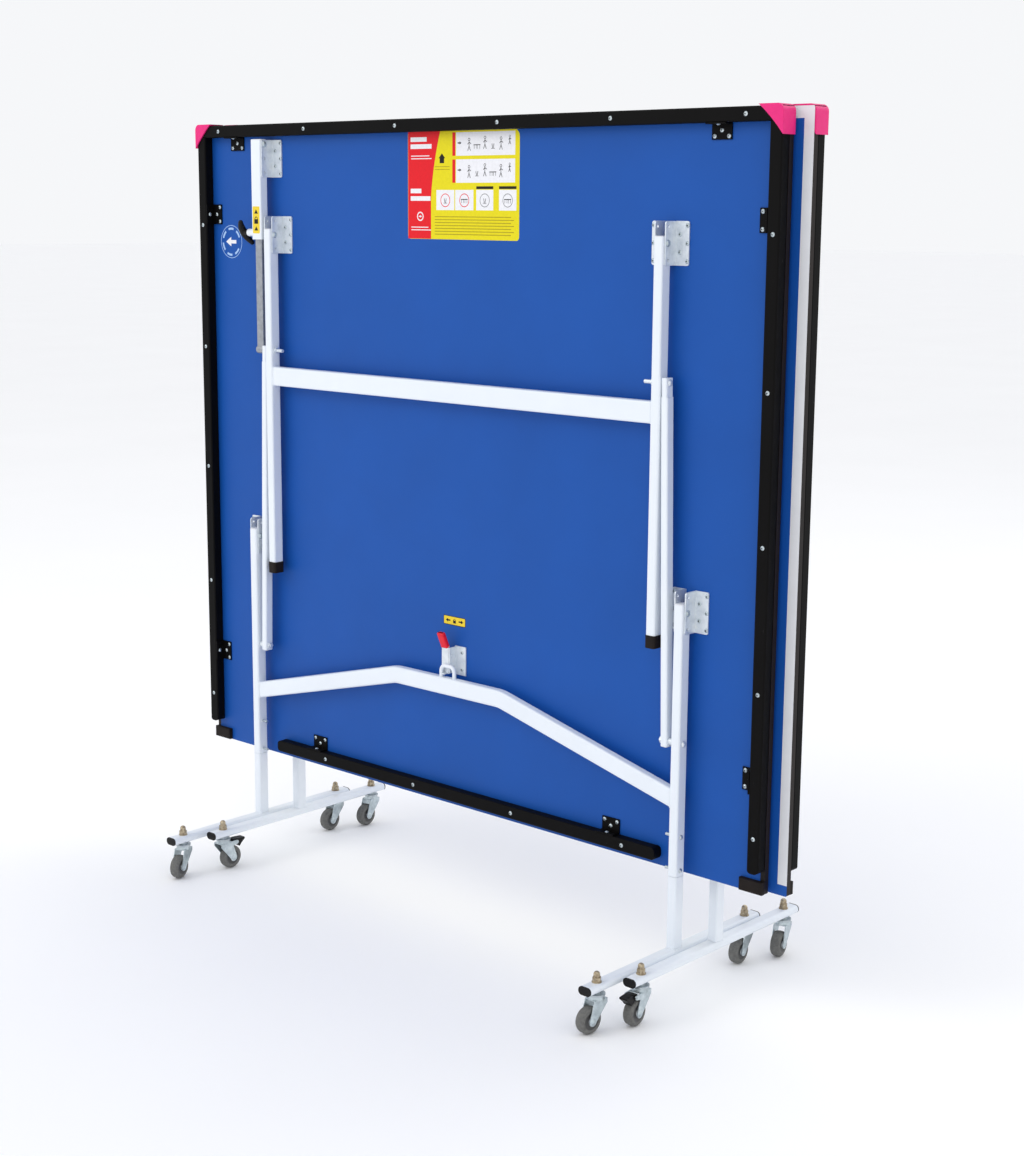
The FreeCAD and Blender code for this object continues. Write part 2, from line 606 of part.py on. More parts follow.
def bracket_angle(centre_x, centre_z, half_width, side, bolt_rise):
    """One L-angle: an ear beside a tube and a flange on the board."""
    inner = centre_x + side * (half_width + BRACKET_GAP)
    outer = inner + side * BRACKET_SHEET
    low, high = centre_z - BRACKET_HEIGHT / 2, centre_z + BRACKET_HEIGHT / 2
    ear_x = sorted((inner, outer))
    flange_x = sorted((inner, outer + side * (BRACKET_FLANGE - 2.0)))
    ear = box((ear_x[0], UNDER_Y - BRACKET_EAR, low), (ear_x[1], UNDER_Y, high))
    tip_edges = [edge for edge in ear.Edges
                 if edge.BoundBox.YMax < UNDER_Y - BRACKET_EAR + 0.1 and edge.BoundBox.XLength > 1]
    ear = ear.makeFillet(5.0, tip_edges)
    flange = box((flange_x[0], UNDER_Y - BRACKET_SHEET, low), (flange_x[1], UNDER_Y, high))
    far_edge_x = outer + side * (BRACKET_FLANGE - 2.0)
    flange_corners = [edge for edge in flange.Edges
                      if edge.BoundBox.YLength > 1 and abs(edge.BoundBox.Center.x - far_edge_x) < 0.1]
    flange = flange.makeFillet(4.0, flange_corners)
    angle = fused([ear, flange])
    for rise in (-EAR_HOLE_RISE, 0.0, EAR_HOLE_RISE):
        radius = BOLT_R if rise == bolt_rise else EAR_HOLE_R
        angle = x_hole(angle, ear_x[0] - 1, ear_x[1] + 1, FRAME_Y, centre_z + rise, radius)
    return angle


STRUT_WIDTH = 30.0
STRUT_BRACKET_Z = STRUT_PIVOT_Z - EAR_HOLE_RISE
BOTH_SIDES = (-1, 1)
# Each bracket: tube centre x, bracket centre z, half the tube's width, its angles and the bolt's rise.
BRACKETS = [(-POST_X, PIVOT_Z, TUBE_WIDTH / 2, BOTH_SIDES, 0.0),
            (POST_X, PIVOT_Z, TUBE_WIDTH / 2, BOTH_SIDES, 0.0),
            (-LEG_X, LEG_PIVOT_Z, TUBE_WIDTH / 2, BOTH_SIDES, 0.0),
            (LEG_X, LEG_PIVOT_Z, TUBE_WIDTH / 2, BOTH_SIDES, 0.0),
            (-STRUT_X, STRUT_BRACKET_Z, STRUT_WIDTH / 2, (1,), EAR_HOLE_RISE)]


LATCH_WEB_X = -2.0
LATCH_SHEET = 2.5
LATCH_LOW_Z = 506.0
LATCH_HIGH_Z = 565.0
LATCH_PIN_Y = UNDER_Y - 12.7
LATCH_PIN_Z = 545.0
LATCH_PIN_R = 2.5


def make_latch_bracket():
    """Angle on the board that carries the latch lever on a pin."""
    flange = box((LATCH_WEB_X, UNDER_Y - LATCH_SHEET, LATCH_LOW_Z), (28.0, UNDER_Y, LATCH_HIGH_Z))
    web = box((LATCH_WEB_X, UNDER_Y - 19.7, LATCH_LOW_Z + 4.0),
              (LATCH_WEB_X + LATCH_SHEET, UNDER_Y, LATCH_HIGH_Z - 2.0))
    pin = cylinder((LATCH_WEB_X - 5.0, LATCH_PIN_Y, LATCH_PIN_Z), X_AXIS, LATCH_PIN_R, 9.0)
    head = cylinder((LATCH_WEB_X + LATCH_SHEET, LATCH_PIN_Y, LATCH_PIN_Z), X_AXIS, 4.0, 1.8)
    return fused([flange, web, pin, head])


def make_board_brackets():
    solids = []
    for x, z, half_width, sides, bolt_rise in BRACKETS:
        for side in sides:
            solids.append(bracket_angle(x, z, half_width, side, bolt_rise))
    solids.append(make_latch_bracket())
    return solids


def screw_at(x, y, z):
    """Small domed screw head facing -Y."""
    head = domed_head(4.2, 2.2)
    head.rotate(ORIGIN, X_AXIS, 90)
    head.translate(Vector(x, y, z))
    return head


def web_screw(x, z, dx, dz):
    """Small domed screw head on the web of a joint plate, facing inward."""
    head = domed_head(4.2, 2.2)
    if dx == 0:
        head.rotate(ORIGIN, X_AXIS, 0 if dz > 0 else 180)
    else:
        head.rotate(ORIGIN, Y_AXIS, 90 * dx)
    head.translate(Vector(x + dx * PLATE_THICK, UNDER_Y - APRON_DEPTH / 2 - 2.0, z + dz * PLATE_THICK))
    return head


def make_top_fasteners():
    """Pivot bolts through the brackets and every screw head on the underside."""
    solids = []
    for x, z, half_width, sides, bolt_rise in BRACKETS:
        reach = half_width + BRACKET_GAP + BRACKET_SHEET
        back = reach if len(sides) == 2 else half_width + 0.4
        solids.append(cross_bolt(x + reach, x - back, FRAME_Y, z + bolt_rise, end="cap"))
        for side in sides:
            for offset, rises in ((24.5, (-31.0, 0.0, 31.0)), (8.5, (-15.5, 15.5))):
                for rise in rises:
                    solids.append(screw_at(x + side * (reach + offset), UNDER_Y - BRACKET_SHEET, z + rise))
    for rise in (12.0, 47.0):
        solids.append(screw_at(18.0, UNDER_Y - LATCH_SHEET, LATCH_LOW_Z + rise))
    for along, where in PLATE_PLACES:
        x, z, dx, dz = plate_frame(along, where)
        for out, across in ((22.0, -15.0), (22.0, 15.0), (12.0, 0.0)):
            solids.append(screw_at(x + dx * out + dz * across, UNDER_Y - PLATE_THICK,
                                   z + dz * out + dx * across))
        solids.append(web_screw(x, z, dx, dz))
    edge_x = HALF_WIDTH - APRON_WIDTH / 2
    for x in (-692.0, -418.0, -150.0, 123.0, 396.0, 688.0):
        solids.append(screw_at(x, APRON_FRONT_Y, BASELINE_Z - APRON_WIDTH / 2))
    for x in (-373.0, -104.0, 170.0, 452.0):
        solids.append(screw_at(x, APRON_FRONT_Y, NET_EDGE_Z + APRON_NET_RISE + APRON_WIDTH / 2))
    for side in (-1, 1):
        for rise in (107.0, 370.0, 630.0, 896.0, 1160.0):
            solids.append(screw_at(side * edge_x, APRON_FRONT_Y, NET_EDGE_Z + rise))
    return solids


# ---------------------------------------------------------------------- leg frame
FOOT_HEIGHT = 24.0
FOOT_SOLE = 7.0
LEG_TOP_Z = LEG_PIVOT_Z + 11.0
LEG_BAR_Z = 1076.0
LEG_BAR_HEIGHT = 40.0
LEG_BAR_DEPTH = 20.0


def make_leg_frame():
    """Two legs and the flat bar welded between them."""
    solids = []
    for side in (-1, 1):
        low = LEG_BOTTOM_Z + FOOT_SOLE
        leg = upright(rounded_tube(TUBE_WIDTH, TUBE_DEPTH, TUBE_RADIUS, TUBE_WALL, LEG_TOP_Z - low),
                      side * LEG_X, FRAME_Y, low)
        x_low, x_high = side * LEG_X - TUBE_WIDTH, side * LEG_X + TUBE_WIDTH
        leg = x_hole(leg, x_low, x_high, FRAME_Y, LEG_PIVOT_Z, BOLT_R + RUNNING_GAP)
        leg = x_hole(leg, x_low, x_high, FRAME_Y, LINK_HIGH_Z, BOLT_R + RUNNING_GAP)
        solids.append(leg)
    bar_half = LEG_X - TUBE_WIDTH / 2
    bar = rounded_tube(LEG_BAR_HEIGHT, LEG_BAR_DEPTH, TUBE_RADIUS, TUBE_WALL, 2 * bar_half)
    solids.append(along_x(bar, -bar_half, FRAME_Y, LEG_BAR_Z))
    return solids


def make_leg_feet():
    """Rubber cups on the leg ends."""
    feet = []
    for side in (-1, 1):
        cup = rounded_bar(TUBE_WIDTH + 2.6, TUBE_DEPTH + 2.6, TUBE_RADIUS + 1.3, FOOT_HEIGHT)
        bottom_edges = [edge for edge in cup.Edges if edge.BoundBox.ZMax < 0.01]
        cup = cup.makeFillet(1.5, bottom_edges)
        socket = rounded_bar(TUBE_WIDTH, TUBE_DEPTH, TUBE_RADIUS, FOOT_HEIGHT)
        socket.translate(Vector(0, 0, FOOT_SOLE))
        feet.append(upright(cup.cut(socket), side * LEG_X, FRAME_Y, LEG_BOTTOM_Z))
    return feet


# ------------------------------------------------------------------ parallel links
LINK_WIDTH = 15.0
LINK_DEPTH = 20.0
LINK_END = 9.0
NECK_WIDTH = 12.0
NECK_LENGTH = 34.0


def make_link_bars():
    """Bars that lean towards the legs at the top, where they are squeezed narrower."""
    bars = []
    lean = math.atan2(LINK_LOW_X - LINK_HIGH_X, LINK_HIGH_Z - LINK_LOW_Z)
    whole = (LINK_HIGH_Z - LINK_LOW_Z + 2 * LINK_END) / math.cos(lean)
    for side in (-1, 1):
        bar = rounded_tube(LINK_WIDTH, LINK_DEPTH, 3.5, TUBE_WALL, whole - NECK_LENGTH)
        neck = rounded_bar(NECK_WIDTH, LINK_DEPTH, 3.5, NECK_LENGTH)
        neck.translate(Vector(0, 0, whole - NECK_LENGTH))
        shoulder = rounded_bar(LINK_WIDTH, LINK_DEPTH, 3.5, 3.0)
        shoulder.translate(Vector(0, 0, whole - NECK_LENGTH - 3.0))
        bar = fused([bar, shoulder, neck])
        bar.translate(Vector(0, 0, -LINK_END))
        bar.rotate(ORIGIN, Y_AXIS, -side * math.degrees(lean))
        bar.translate(Vector(side * LINK_LOW_X, FRAME_Y, LINK_LOW_Z))
        x_low, x_high = side * LINK_HIGH_X - 30, side * LINK_HIGH_X + 30
        for z in (LINK_LOW_Z, LINK_HIGH_Z):
            bar = x_hole(bar, x_low, x_high, FRAME_Y, z, BOLT_R)
        bars.append(bar)
    return bars


def make_link_bolts():
    """Bolts of the links: low ones through the posts, high ones through the legs."""
    bolts = []
    for side in (-1, 1):
        post_face = side * (POST_X + TUBE_WIDTH / 2 + 0.4)
        link_face = side * (LINK_LOW_X - LINK_WIDTH / 2 - 0.2)
        low_bolt = cross_bolt(post_face, link_face, FRAME_Y, LINK_LOW_Z)
        spacer_start = side * (LINK_LOW_X + LINK_WIDTH / 2 + 0.25)
        spacer_length = POST_X - TUBE_WIDTH / 2 - LINK_LOW_X - LINK_WIDTH / 2 - 0.65
        spacer = cylinder((spacer_start, FRAME_Y, LINK_LOW_Z), X_AXIS * side, 7.0, spacer_length)
        bolts.append(fused([low_bolt, spacer]))
        leg_face = side * (LEG_X - TUBE_WIDTH / 2 - 0.4)
        outer_face = side * (LINK_HIGH_X + NECK_WIDTH / 2 + 0.3)
        if side < 0:
            outer_face = -STRUT_X - ROD_WIDTH / 2 - 0.4
        high_bolt = cross_bolt(outer_face, leg_face, FRAME_Y, LINK_HIGH_Z, tail=22.0)
        bush_start = side * (LEG_X + TUBE_WIDTH / 2 + 0.4)
        bush_length = LINK_HIGH_X - NECK_WIDTH / 2 - LEG_X - TUBE_WIDTH / 2 - 0.6
        bush = cylinder((bush_start, FRAME_Y, LINK_HIGH_Z), X_AXIS * side, 6.5, bush_length)
        bolts.append(fused([high_bolt, bush]))
    return bolts


# --------------------------------------------------------------------- lock strut
STRUT_DEPTH = 20.0
STRUT_WALL = 1.2
STRUT_LOW_Z = 1362.0
ROD_WIDTH = 20.0
ROD_DEPTH = 11.0
ROD_LENGTH = 288.0
BOSS_Z = 1376.0
BOSS_R = 8.0
BOSS_LENGTH = 20.0


def make_strut_tube():
    """Outer tube of the strut with the plunger boss on its outer side."""
    top = STRUT_PIVOT_Z + 9.0
    tube = upright(rounded_tube(STRUT_WIDTH, STRUT_DEPTH, 3.0, STRUT_WALL, top - STRUT_LOW_Z),
                   -STRUT_X, FRAME_Y, STRUT_LOW_Z)
    face_x = -STRUT_X - STRUT_WIDTH / 2
    boss = cylinder((face_x + 0.6, FRAME_Y, BOSS_Z), X_AXIS * -1, BOSS_R, BOSS_LENGTH + 0.6)
    tube = fused([tube, boss])
    tube = x_hole(tube, face_x - BOSS_LENGTH - 1, face_x + 4, FRAME_Y, BOSS_Z, PLUNGER_R + RUNNING_GAP)
    return x_hole(tube, -STRUT_X - 20, -STRUT_X + 20, FRAME_Y, STRUT_PIVOT_Z, BOLT_R + RUNNING_GAP)


def make_strut_rod():
    """Flat inner rod with an eye on the leg's upper link bolt."""
    rod = upright(rounded_bar(ROD_WIDTH, ROD_DEPTH, 2.0, ROD_LENGTH), -STRUT_X, FRAME_Y, LINK_HIGH_Z)
    eye = cylinder((-STRUT_X - ROD_WIDTH / 2, FRAME_Y, LINK_HIGH_Z), X_AXIS, 8.5, ROD_WIDTH)
    rod = fused([rod, eye])
    return x_hole(rod, -STRUT_X - 20, -STRUT_X + 20, FRAME_Y, LINK_HIGH_Z, BOLT_R + RUNNING_GAP)


PLUNGER_R = 4.0
HANDLE_HALF_SPAN = 26.0
HANDLE_TILT = 36.0
HANDLE_CURL = 8.0
HANDLE_RADII = (5.0, 7.2, 8.2, 7.2, 5.0)


def make_strut_handle():
    """Spring plunger with a curved T-handle, thick in the middle."""
    tip_x = -STRUT_X - ROD_WIDTH / 2 - 0.6
    collar_x = -STRUT_X - STRUT_WIDTH / 2 - BOSS_LENGTH - 0.8
    bar_x = collar_x - 17.0
    pin = cylinder((tip_x, FRAME_Y, BOSS_Z), X_AXIS * -1, PLUNGER_R, tip_x - bar_x)
    collar = cylinder((collar_x, FRAME_Y, BOSS_Z), X_AXIS * -1, 7.0, collar_x - bar_x)
    tilt = math.radians(HANDLE_TILT)
    span_y, span_z = -math.sin(tilt), math.cos(tilt)
    bend_radius = (HANDLE_HALF_SPAN ** 2 + HANDLE_CURL ** 2) / (2 * HANDLE_CURL)
    half_turn = math.asin(HANDLE_HALF_SPAN / bend_radius)
    sections = []
    centres = []
    for index, radius in enumerate(HANDLE_RADII):
        turn = half_turn * (index / 2 - 1)
        along = bend_radius * math.sin(turn)
        curl = bend_radius * (1 - math.cos(turn))
        centre = Vector(bar_x + curl, FRAME_Y + along * span_y, BOSS_Z + along * span_z)
        direction = Vector(math.sin(turn), math.cos(turn) * span_y, math.cos(turn) * span_z)
        sections.append(circle_wire(centre, direction, radius))
        centres.append(centre)
    grip = Part.makeLoft(sections, True, False)
    ends = [Part.makeSphere(HANDLE_RADII[0], centres[index]) for index in (0, -1)]
    return fused([pin, collar, grip] + ends)


# -------------------------------------------------------------------- latch lever
def make_latch_lever():
    """Zinc lever with a tongue through the striker loop and a dipped grip."""
    back = UNDER_Y - 17.7
    front = back - 2.0
    ear_high = LATCH_WEB_X - 0.8
    low_z, high_z = 509.0, 566.0
    plate = box((-22.0, front, low_z), (ear_high, back, high_z))
    ear = box((ear_high - 2.0, front, 530.0), (ear_high, UNDER_Y - 7.5, 558.0))
    tongue = box((-14.0, FRAME_Y - 5.5, low_z), (ear_high - 1.0, back, low_z + 2.0))
    lever = fused([plate, ear, tongue])
    lever = x_hole(lever, ear_high - 3, ear_high + 1, LATCH_PIN_Y, LATCH_PIN_Z,
                   LATCH_PIN_R + RUNNING_GAP)
    grip = rounded_bar(17.0, 8.0, 3.5, 32.0)
    grip.rotate(ORIGIN, X_AXIS, 24)
    grip.translate(Vector((ear_high - 22.0) / 2, (front + back) / 2, high_z - 3.0))
    lever_core = box((-30.0, front - 0.01, low_z), (10.0, back + 0.01, high_z))
    return [lever, grip.cut(lever_core)]


# ------------------------------------------------------------------------ assembly
def place(shape, half):
    """Put a near-half shape in the world; the far half is turned 180 degrees."""
    placed = shape.copy()
    if half == "far":
        placed.rotate(ORIGIN, Z_AXIS, 180)
        placed.translate(Vector(HALF_OFFSET_X, ORIGIN_SHIFT_Y, 0))
    else:
        placed.translate(Vector(-HALF_OFFSET_X, ORIGIN_SHIFT_Y, 0))
    return placed


def export(name, shapes, half):
    solids = []
    for shape in shapes:
        solids.extend(place(shape, half).Solids)
    for solid in solids:
        if not solid.isValid() or solid.Volume <= 0:
            raise ValueError("bad solid in " + name)
    whole = solids[0] if len(solids) == 1 else Part.makeCompound(solids)
    whole.exportStep("parts/" + name + ".step")
    return whole


# Each castor: side of the table and end as the viewer of the near half names them,
# and the world heading of its trail, turned counter-clockwise from -Y.
CASTORS = {
    "near": {("left", "outer"): 20.0, ("right", "outer"): -7.0,
             ("left", "inner"): 2.0, ("right", "inner"): 5.0},
    "far": {("left", "inner"): 181.0, ("right", "inner"): 4.0,
            ("left", "outer"): 4.0, ("right", "outer"): 13.0},
}
BRAKED = [("far", "left", "inner"), ("far", "right", "inner")]


def castor_place(half, side, end):
    """Stem position of a castor in its half's own coordinates."""
    sign_x = -1 if side == "left" else 1
    if half == "far":
        sign_x = -sign_x
    sign_y = -1 if end == "outer" else 1
    return sign_x * POST_X, FRAME_Y + sign_y * CASTOR_SPACING / 2


def make_castors(half):
    for (side, end), heading in CASTORS[half].items():
        x, y = castor_place(half, side, end)
        turn = heading + (180.0 if half == "far" else 0.0)
        braked = (half, side, end) in BRAKED
        pieces = {"fork": make_castor_fork(braked), "wheel": [make_castor_wheel()]}
        if braked:
            pieces["pedal"] = [make_brake_pedal()]
        for piece, shapes in pieces.items():
            turned = []
            for shape in shapes:
                copy = shape.copy()
                copy.rotate(ORIGIN, Z_AXIS, turn)
                copy.translate(Vector(x, y, 0))
                turned.append(copy)
            export("_".join((half, side, end, "castor", piece)), turned, half)


NODES = {
    "foot_rails": make_foot_rails,
    "rail_end_caps": make_rail_end_caps,
    "posts": make_posts,
    "cross_tube": lambda: [make_cross_tube(), make_striker_loop()],
    "trolley_bolts": make_trolley_bolts,
    "tabletop": lambda: [make_tabletop()],
    "apron_rails": make_apron_rails,
    "apron_plates": make_apron_plates,
    "corner_guards": make_corner_guards,
    "net_corner_blocks": make_net_corner_blocks,
    "board_brackets": make_board_brackets,
    "top_fasteners": make_top_fasteners,
    "leg_frame": make_leg_frame,
    "leg_feet": make_leg_feet,
    "link_bars": make_link_bars,
    "link_bolts": make_link_bolts,
    "strut_tube": lambda: [make_strut_tube()],
    "strut_rod": lambda: [make_strut_rod()],
    "strut_handle": lambda: [make_strut_handle()],
    "latch_lever": make_latch_lever,
}


def build():
    for half in ("near", "far"):
        for name, maker in NODES.items():
            export(half + "_" + name, maker(), half)
        make_castors(half)


build()
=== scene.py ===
"""Looks for a folded two-piece table tennis table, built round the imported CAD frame.

Everything is in metres in the frame's coordinates.  Each half of the table is described once,
in its own coordinates: x to the right of someone facing its underside, y into the board from
the underside, z up from the board's net edge.  It is then made twice.
"""

import json
import math

import bmesh
import bpy
from mathutils import Matrix, Vector


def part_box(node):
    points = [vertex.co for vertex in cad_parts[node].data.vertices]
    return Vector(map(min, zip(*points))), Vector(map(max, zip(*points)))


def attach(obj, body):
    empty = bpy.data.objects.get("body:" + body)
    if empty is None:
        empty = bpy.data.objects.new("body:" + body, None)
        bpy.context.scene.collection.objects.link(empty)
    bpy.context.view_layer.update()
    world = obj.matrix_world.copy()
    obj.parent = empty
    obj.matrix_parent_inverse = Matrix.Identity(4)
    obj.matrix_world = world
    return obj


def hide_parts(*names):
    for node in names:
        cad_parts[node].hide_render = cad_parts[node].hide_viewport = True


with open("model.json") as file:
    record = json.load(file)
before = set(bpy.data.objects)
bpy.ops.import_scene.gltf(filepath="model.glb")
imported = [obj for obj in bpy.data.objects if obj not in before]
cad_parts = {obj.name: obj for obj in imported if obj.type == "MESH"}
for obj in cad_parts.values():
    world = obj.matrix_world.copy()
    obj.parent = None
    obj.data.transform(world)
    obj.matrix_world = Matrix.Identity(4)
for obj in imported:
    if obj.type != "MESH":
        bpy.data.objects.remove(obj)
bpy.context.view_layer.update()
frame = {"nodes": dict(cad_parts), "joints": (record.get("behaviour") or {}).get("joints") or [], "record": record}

MM = 0.001
NODES = frame["nodes"]
JOINTS = {joint["name"]: joint for joint in frame["joints"]}


# ------------------------------------------------------------------------- the two halves
class Half:
    """One half of the table, with the matrix from its own coordinates to the frame's."""

    def __init__(self, name, turned):
        low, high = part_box(name + "_tabletop")
        self.name = name
        self.sign = -1 if turned else 1
        self.low, self.high = low, high
        self.centre_x = (low.x + high.x) / 2
        self.half_width = (high.x - low.x) / 2
        self.length = high.z - low.z
        under_y = high.y if turned else low.y
        turn = Matrix.Rotation(math.pi, 4, "Z") if turned else Matrix.Identity(4)
        self.matrix = Matrix.Translation((self.centre_x, under_y, low.z)) @ turn

    def own_box(self, node):
        """Lowest and highest corner of a CAD node in the half's own coordinates."""
        back = self.matrix.inverted()
        corners = [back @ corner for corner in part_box(self.name + "_" + node)]
        low = Vector([min(a, b) for a, b in zip(*corners)])
        high = Vector([max(a, b) for a, b in zip(*corners)])
        return low, high


HALVES = [Half("near", False), Half("far", True)]
RAIL_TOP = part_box("near_foot_rails")[1].z


# ------------------------------------------------------------------------------- camera
CAMERA_PLACE = Vector((2.5762, -2.6992, 1.4275))
CAMERA_YAW = math.radians(42.27)
CAMERA_PITCH = math.radians(10.966)
CAMERA_ROLL = math.radians(0.421)
CAMERA_LENS = 59.186


def make_camera():
    """The photo's view, as solved from the corners and edges of the boards."""
    forward = Vector((-math.sin(CAMERA_YAW) * math.cos(CAMERA_PITCH),
                      math.cos(CAMERA_YAW) * math.cos(CAMERA_PITCH), -math.sin(CAMERA_PITCH)))
    level = Vector((math.cos(CAMERA_YAW), math.sin(CAMERA_YAW), 0))
    upward = level.cross(forward)
    right = level * math.cos(CAMERA_ROLL) + upward * math.sin(CAMERA_ROLL)
    up = right.cross(forward)
    data = bpy.data.cameras.new("camera")
    data.lens = CAMERA_LENS
    data.sensor_width = 36.0
    camera = bpy.data.objects.new("camera", data)
    bpy.context.scene.collection.objects.link(camera)
    axes = Matrix((right, up, -forward)).transposed().to_4x4()
    camera.matrix_world = Matrix.Translation(CAMERA_PLACE) @ axes
    bpy.context.scene.camera = camera


make_camera()


# ---------------------------------------------------------------------------- materials
def linear(red, green, blue):
    """A screen colour of 0 to 255 as the linear colour that shaders take."""
    return tuple(((c / 255 + 0.055) / 1.055) ** 2.4 if c > 10 else c / 255 / 12.92
                 for c in (red, green, blue)) + (1.0,)


class Finish:
    """A Principled material while its nodes are being wired."""

    def __init__(self, name, **sockets):
        self.material = bpy.data.materials.new(name)
        self.material.use_nodes = True
        self.tree = self.material.node_tree
        self.shader = self.tree.nodes["Principled BSDF"]
        for socket, value in sockets.items():
            self.shader.inputs[socket.replace("_", " ")].default_value = value
        self.coords = self.tree.nodes.new("ShaderNodeTexCoord")
        self.normal = None

    def link(self, source, socket):
        self.tree.links.new(source, socket)

    def math(self, operation, first, second=None, third=None):
        """A math node of up to three numbers or sockets."""
        node = self.tree.nodes.new("ShaderNodeMath")
        node.operation = operation
        for index, value in enumerate((first, second, third)):
            if value is None:
                continue
            if isinstance(value, (int, float)):
                node.inputs[index].default_value = value
            else:
                self.link(value, node.inputs[index])
        return node.outputs[0]

    def place(self):
        """Object coordinates as separate x, y and z."""
        split = self.tree.nodes.new("ShaderNodeSeparateXYZ")
        self.link(self.coords.outputs["Object"], split.inputs[0])
        return split.outputs

    def facing(self):
        """The surface normal in the object's own axes as separate x, y and z."""
        split = self.tree.nodes.new("ShaderNodeSeparateXYZ")
        self.link(self.coords.outputs["Normal"], split.inputs[0])
        return split.outputs

    def noise(self, size, detail=3.0, roughness=0.55, stretch=None):
        """Noise whose features are about size metres across."""
        node = self.tree.nodes.new("ShaderNodeTexNoise")
        node.inputs["Scale"].default_value = 1 / size
        node.inputs["Detail"].default_value = detail
        node.inputs["Roughness"].default_value = roughness
        vector = self.coords.outputs["Object"]
        if stretch:
            mapping = self.tree.nodes.new("ShaderNodeMapping")
            mapping.inputs["Scale"].default_value = stretch
            self.link(vector, mapping.inputs["Vector"])
            vector = mapping.outputs[0]
        self.link(vector, node.inputs["Vector"])
        return node.outputs["Fac"]

    def ramp(self, factor, *stops):
        """Colour ramp from (position, colour) stops."""
        node = self.tree.nodes.new("ShaderNodeValToRGB")
        elements = node.color_ramp.elements
        while len(elements) < len(stops):
            elements.new(0.5)
        for element, (position, colour) in zip(elements, stops):
            element.position = position
            element.color = colour
        self.link(factor, node.inputs["Fac"])
        return node.outputs["Color"]

    def spread(self, factor, low, high):
        """A 0 to 1 value spread over low to high."""
        node = self.tree.nodes.new("ShaderNodeMapRange")
        node.inputs["To Min"].default_value = low
        node.inputs["To Max"].default_value = high
        self.link(factor, node.inputs["Value"])
        return node.outputs[0]

    def mix(self, factor, first, second):
        """First colour where the factor is 0, second where it is 1."""
        node = self.tree.nodes.new("ShaderNodeMix")
        node.data_type = "RGBA"
        self.link(factor, node.inputs["Factor"])
        for socket, value in (("A", first), ("B", second)):
            target = [s for s in node.inputs if s.name == socket and s.type == "RGBA"][0]
            if isinstance(value, tuple):
                target.default_value = value
            else:
                self.link(value, target)
        return [s for s in node.outputs if s.type == "RGBA"][0]

    def soft_edges(self, radius):
        """Rounds the look of hard edges."""
        node = self.tree.nodes.new("ShaderNodeBevel")
        node.samples = 4
        node.inputs["Radius"].default_value = radius
        self.normal = node.outputs[0]

    def bump(self, height, depth, strength=1.0):
        """Small relief of the given depth on top of what the normal already has."""
        node = self.tree.nodes.new("ShaderNodeBump")
        node.inputs["Strength"].default_value = strength
        node.inputs["Distance"].default_value = depth
        self.link(height, node.inputs["Height"])
        if self.normal is not None:
            self.link(self.normal, node.inputs["Normal"])
        self.normal = node.outputs[0]

    def done(self, colour=None, roughness=None):
        """Wires the finished sockets to the shader and hands over the material."""
        for source, socket in ((colour, "Base Color"), (roughness, "Roughness"),
                               (self.normal, "Normal")):
            if source is not None:
                self.link(source, self.shader.inputs[socket])
        return self.material


def shades(finish, factor, colour, spread):
    """The colour, a little darker and lighter by the factor."""
    dark = tuple(c * (1 - spread) for c in colour[:3]) + (1.0,)
    light = tuple(min(1.0, c * (1 + spread)) for c in colour[:3]) + (1.0,)
    return finish.ramp(factor, (0.3, dark), (0.7, light))


LINE_WIDTH = 20 * MM
CENTRE_LINE_WIDTH = 3 * MM
RIM_WIDTH = 9 * MM
BOARD_BLUE = (0.0055, 0.080, 0.375, 1.0)
EDGE_BROWN = linear(24, 16, 13)
LINE_WHITE = linear(225, 226, 230)


def board_paint(half):
    """Stippled blue paint with white court lines on the playing face and dark edge bands."""
    finish = Finish(half.name + "_board_paint", Specular_IOR_Level=0.22)
    x, _, z = finish.place()
    facing_y = finish.facing()[1]
    blue = shades(finish, finish.noise(0.22, 4.0), BOARD_BLUE, 0.05)
    speck = finish.math("GREATER_THAN", finish.noise(2.2 * MM, 2.0), 0.66)
    lighter = tuple(min(1.0, c * 1.25) for c in BOARD_BLUE[:3]) + (1.0,)
    blue = finish.mix(finish.math("MULTIPLY", speck, 0.35), blue, lighter)
    across = finish.math("ABSOLUTE", finish.math("SUBTRACT", x, half.centre_x))
    side = finish.math("GREATER_THAN", across, half.half_width - LINE_WIDTH)
    side = finish.math("MULTIPLY", side, finish.math("GREATER_THAN", z, half.low.z + LINE_WIDTH))
    end = finish.math("GREATER_THAN", z, half.high.z - LINE_WIDTH)
    middle = finish.math("LESS_THAN", across, CENTRE_LINE_WIDTH / 2)
    lines = finish.math("MAXIMUM", finish.math("MAXIMUM", side, end), middle)
    playing = finish.math("GREATER_THAN", finish.math("MULTIPLY", facing_y, half.sign), 0.5)
    painted = finish.mix(finish.math("MULTIPLY", lines, playing), blue,
                         shades(finish, finish.noise(0.05), LINE_WHITE, 0.03))
    edge = finish.math("LESS_THAN", finish.math("ABSOLUTE", facing_y), 0.5)
    rim = finish.math("GREATER_THAN", across, half.half_width - RIM_WIDTH)
    under = finish.math("SUBTRACT", 1.0, playing)
    edge = finish.math("MAXIMUM", edge, finish.math("MULTIPLY", rim, under))
    brown = shades(finish, finish.noise(0.02, 4.0, stretch=(1, 1, 0.1)), EDGE_BROWN, 0.4)
    colour = finish.mix(edge, painted, brown)
    finish.bump(finish.noise(1.1 * MM, 2.0), 0.12 * MM, 0.35)
    return finish.done(colour, finish.spread(finish.noise(0.03, 4.0), 0.40, 0.52))


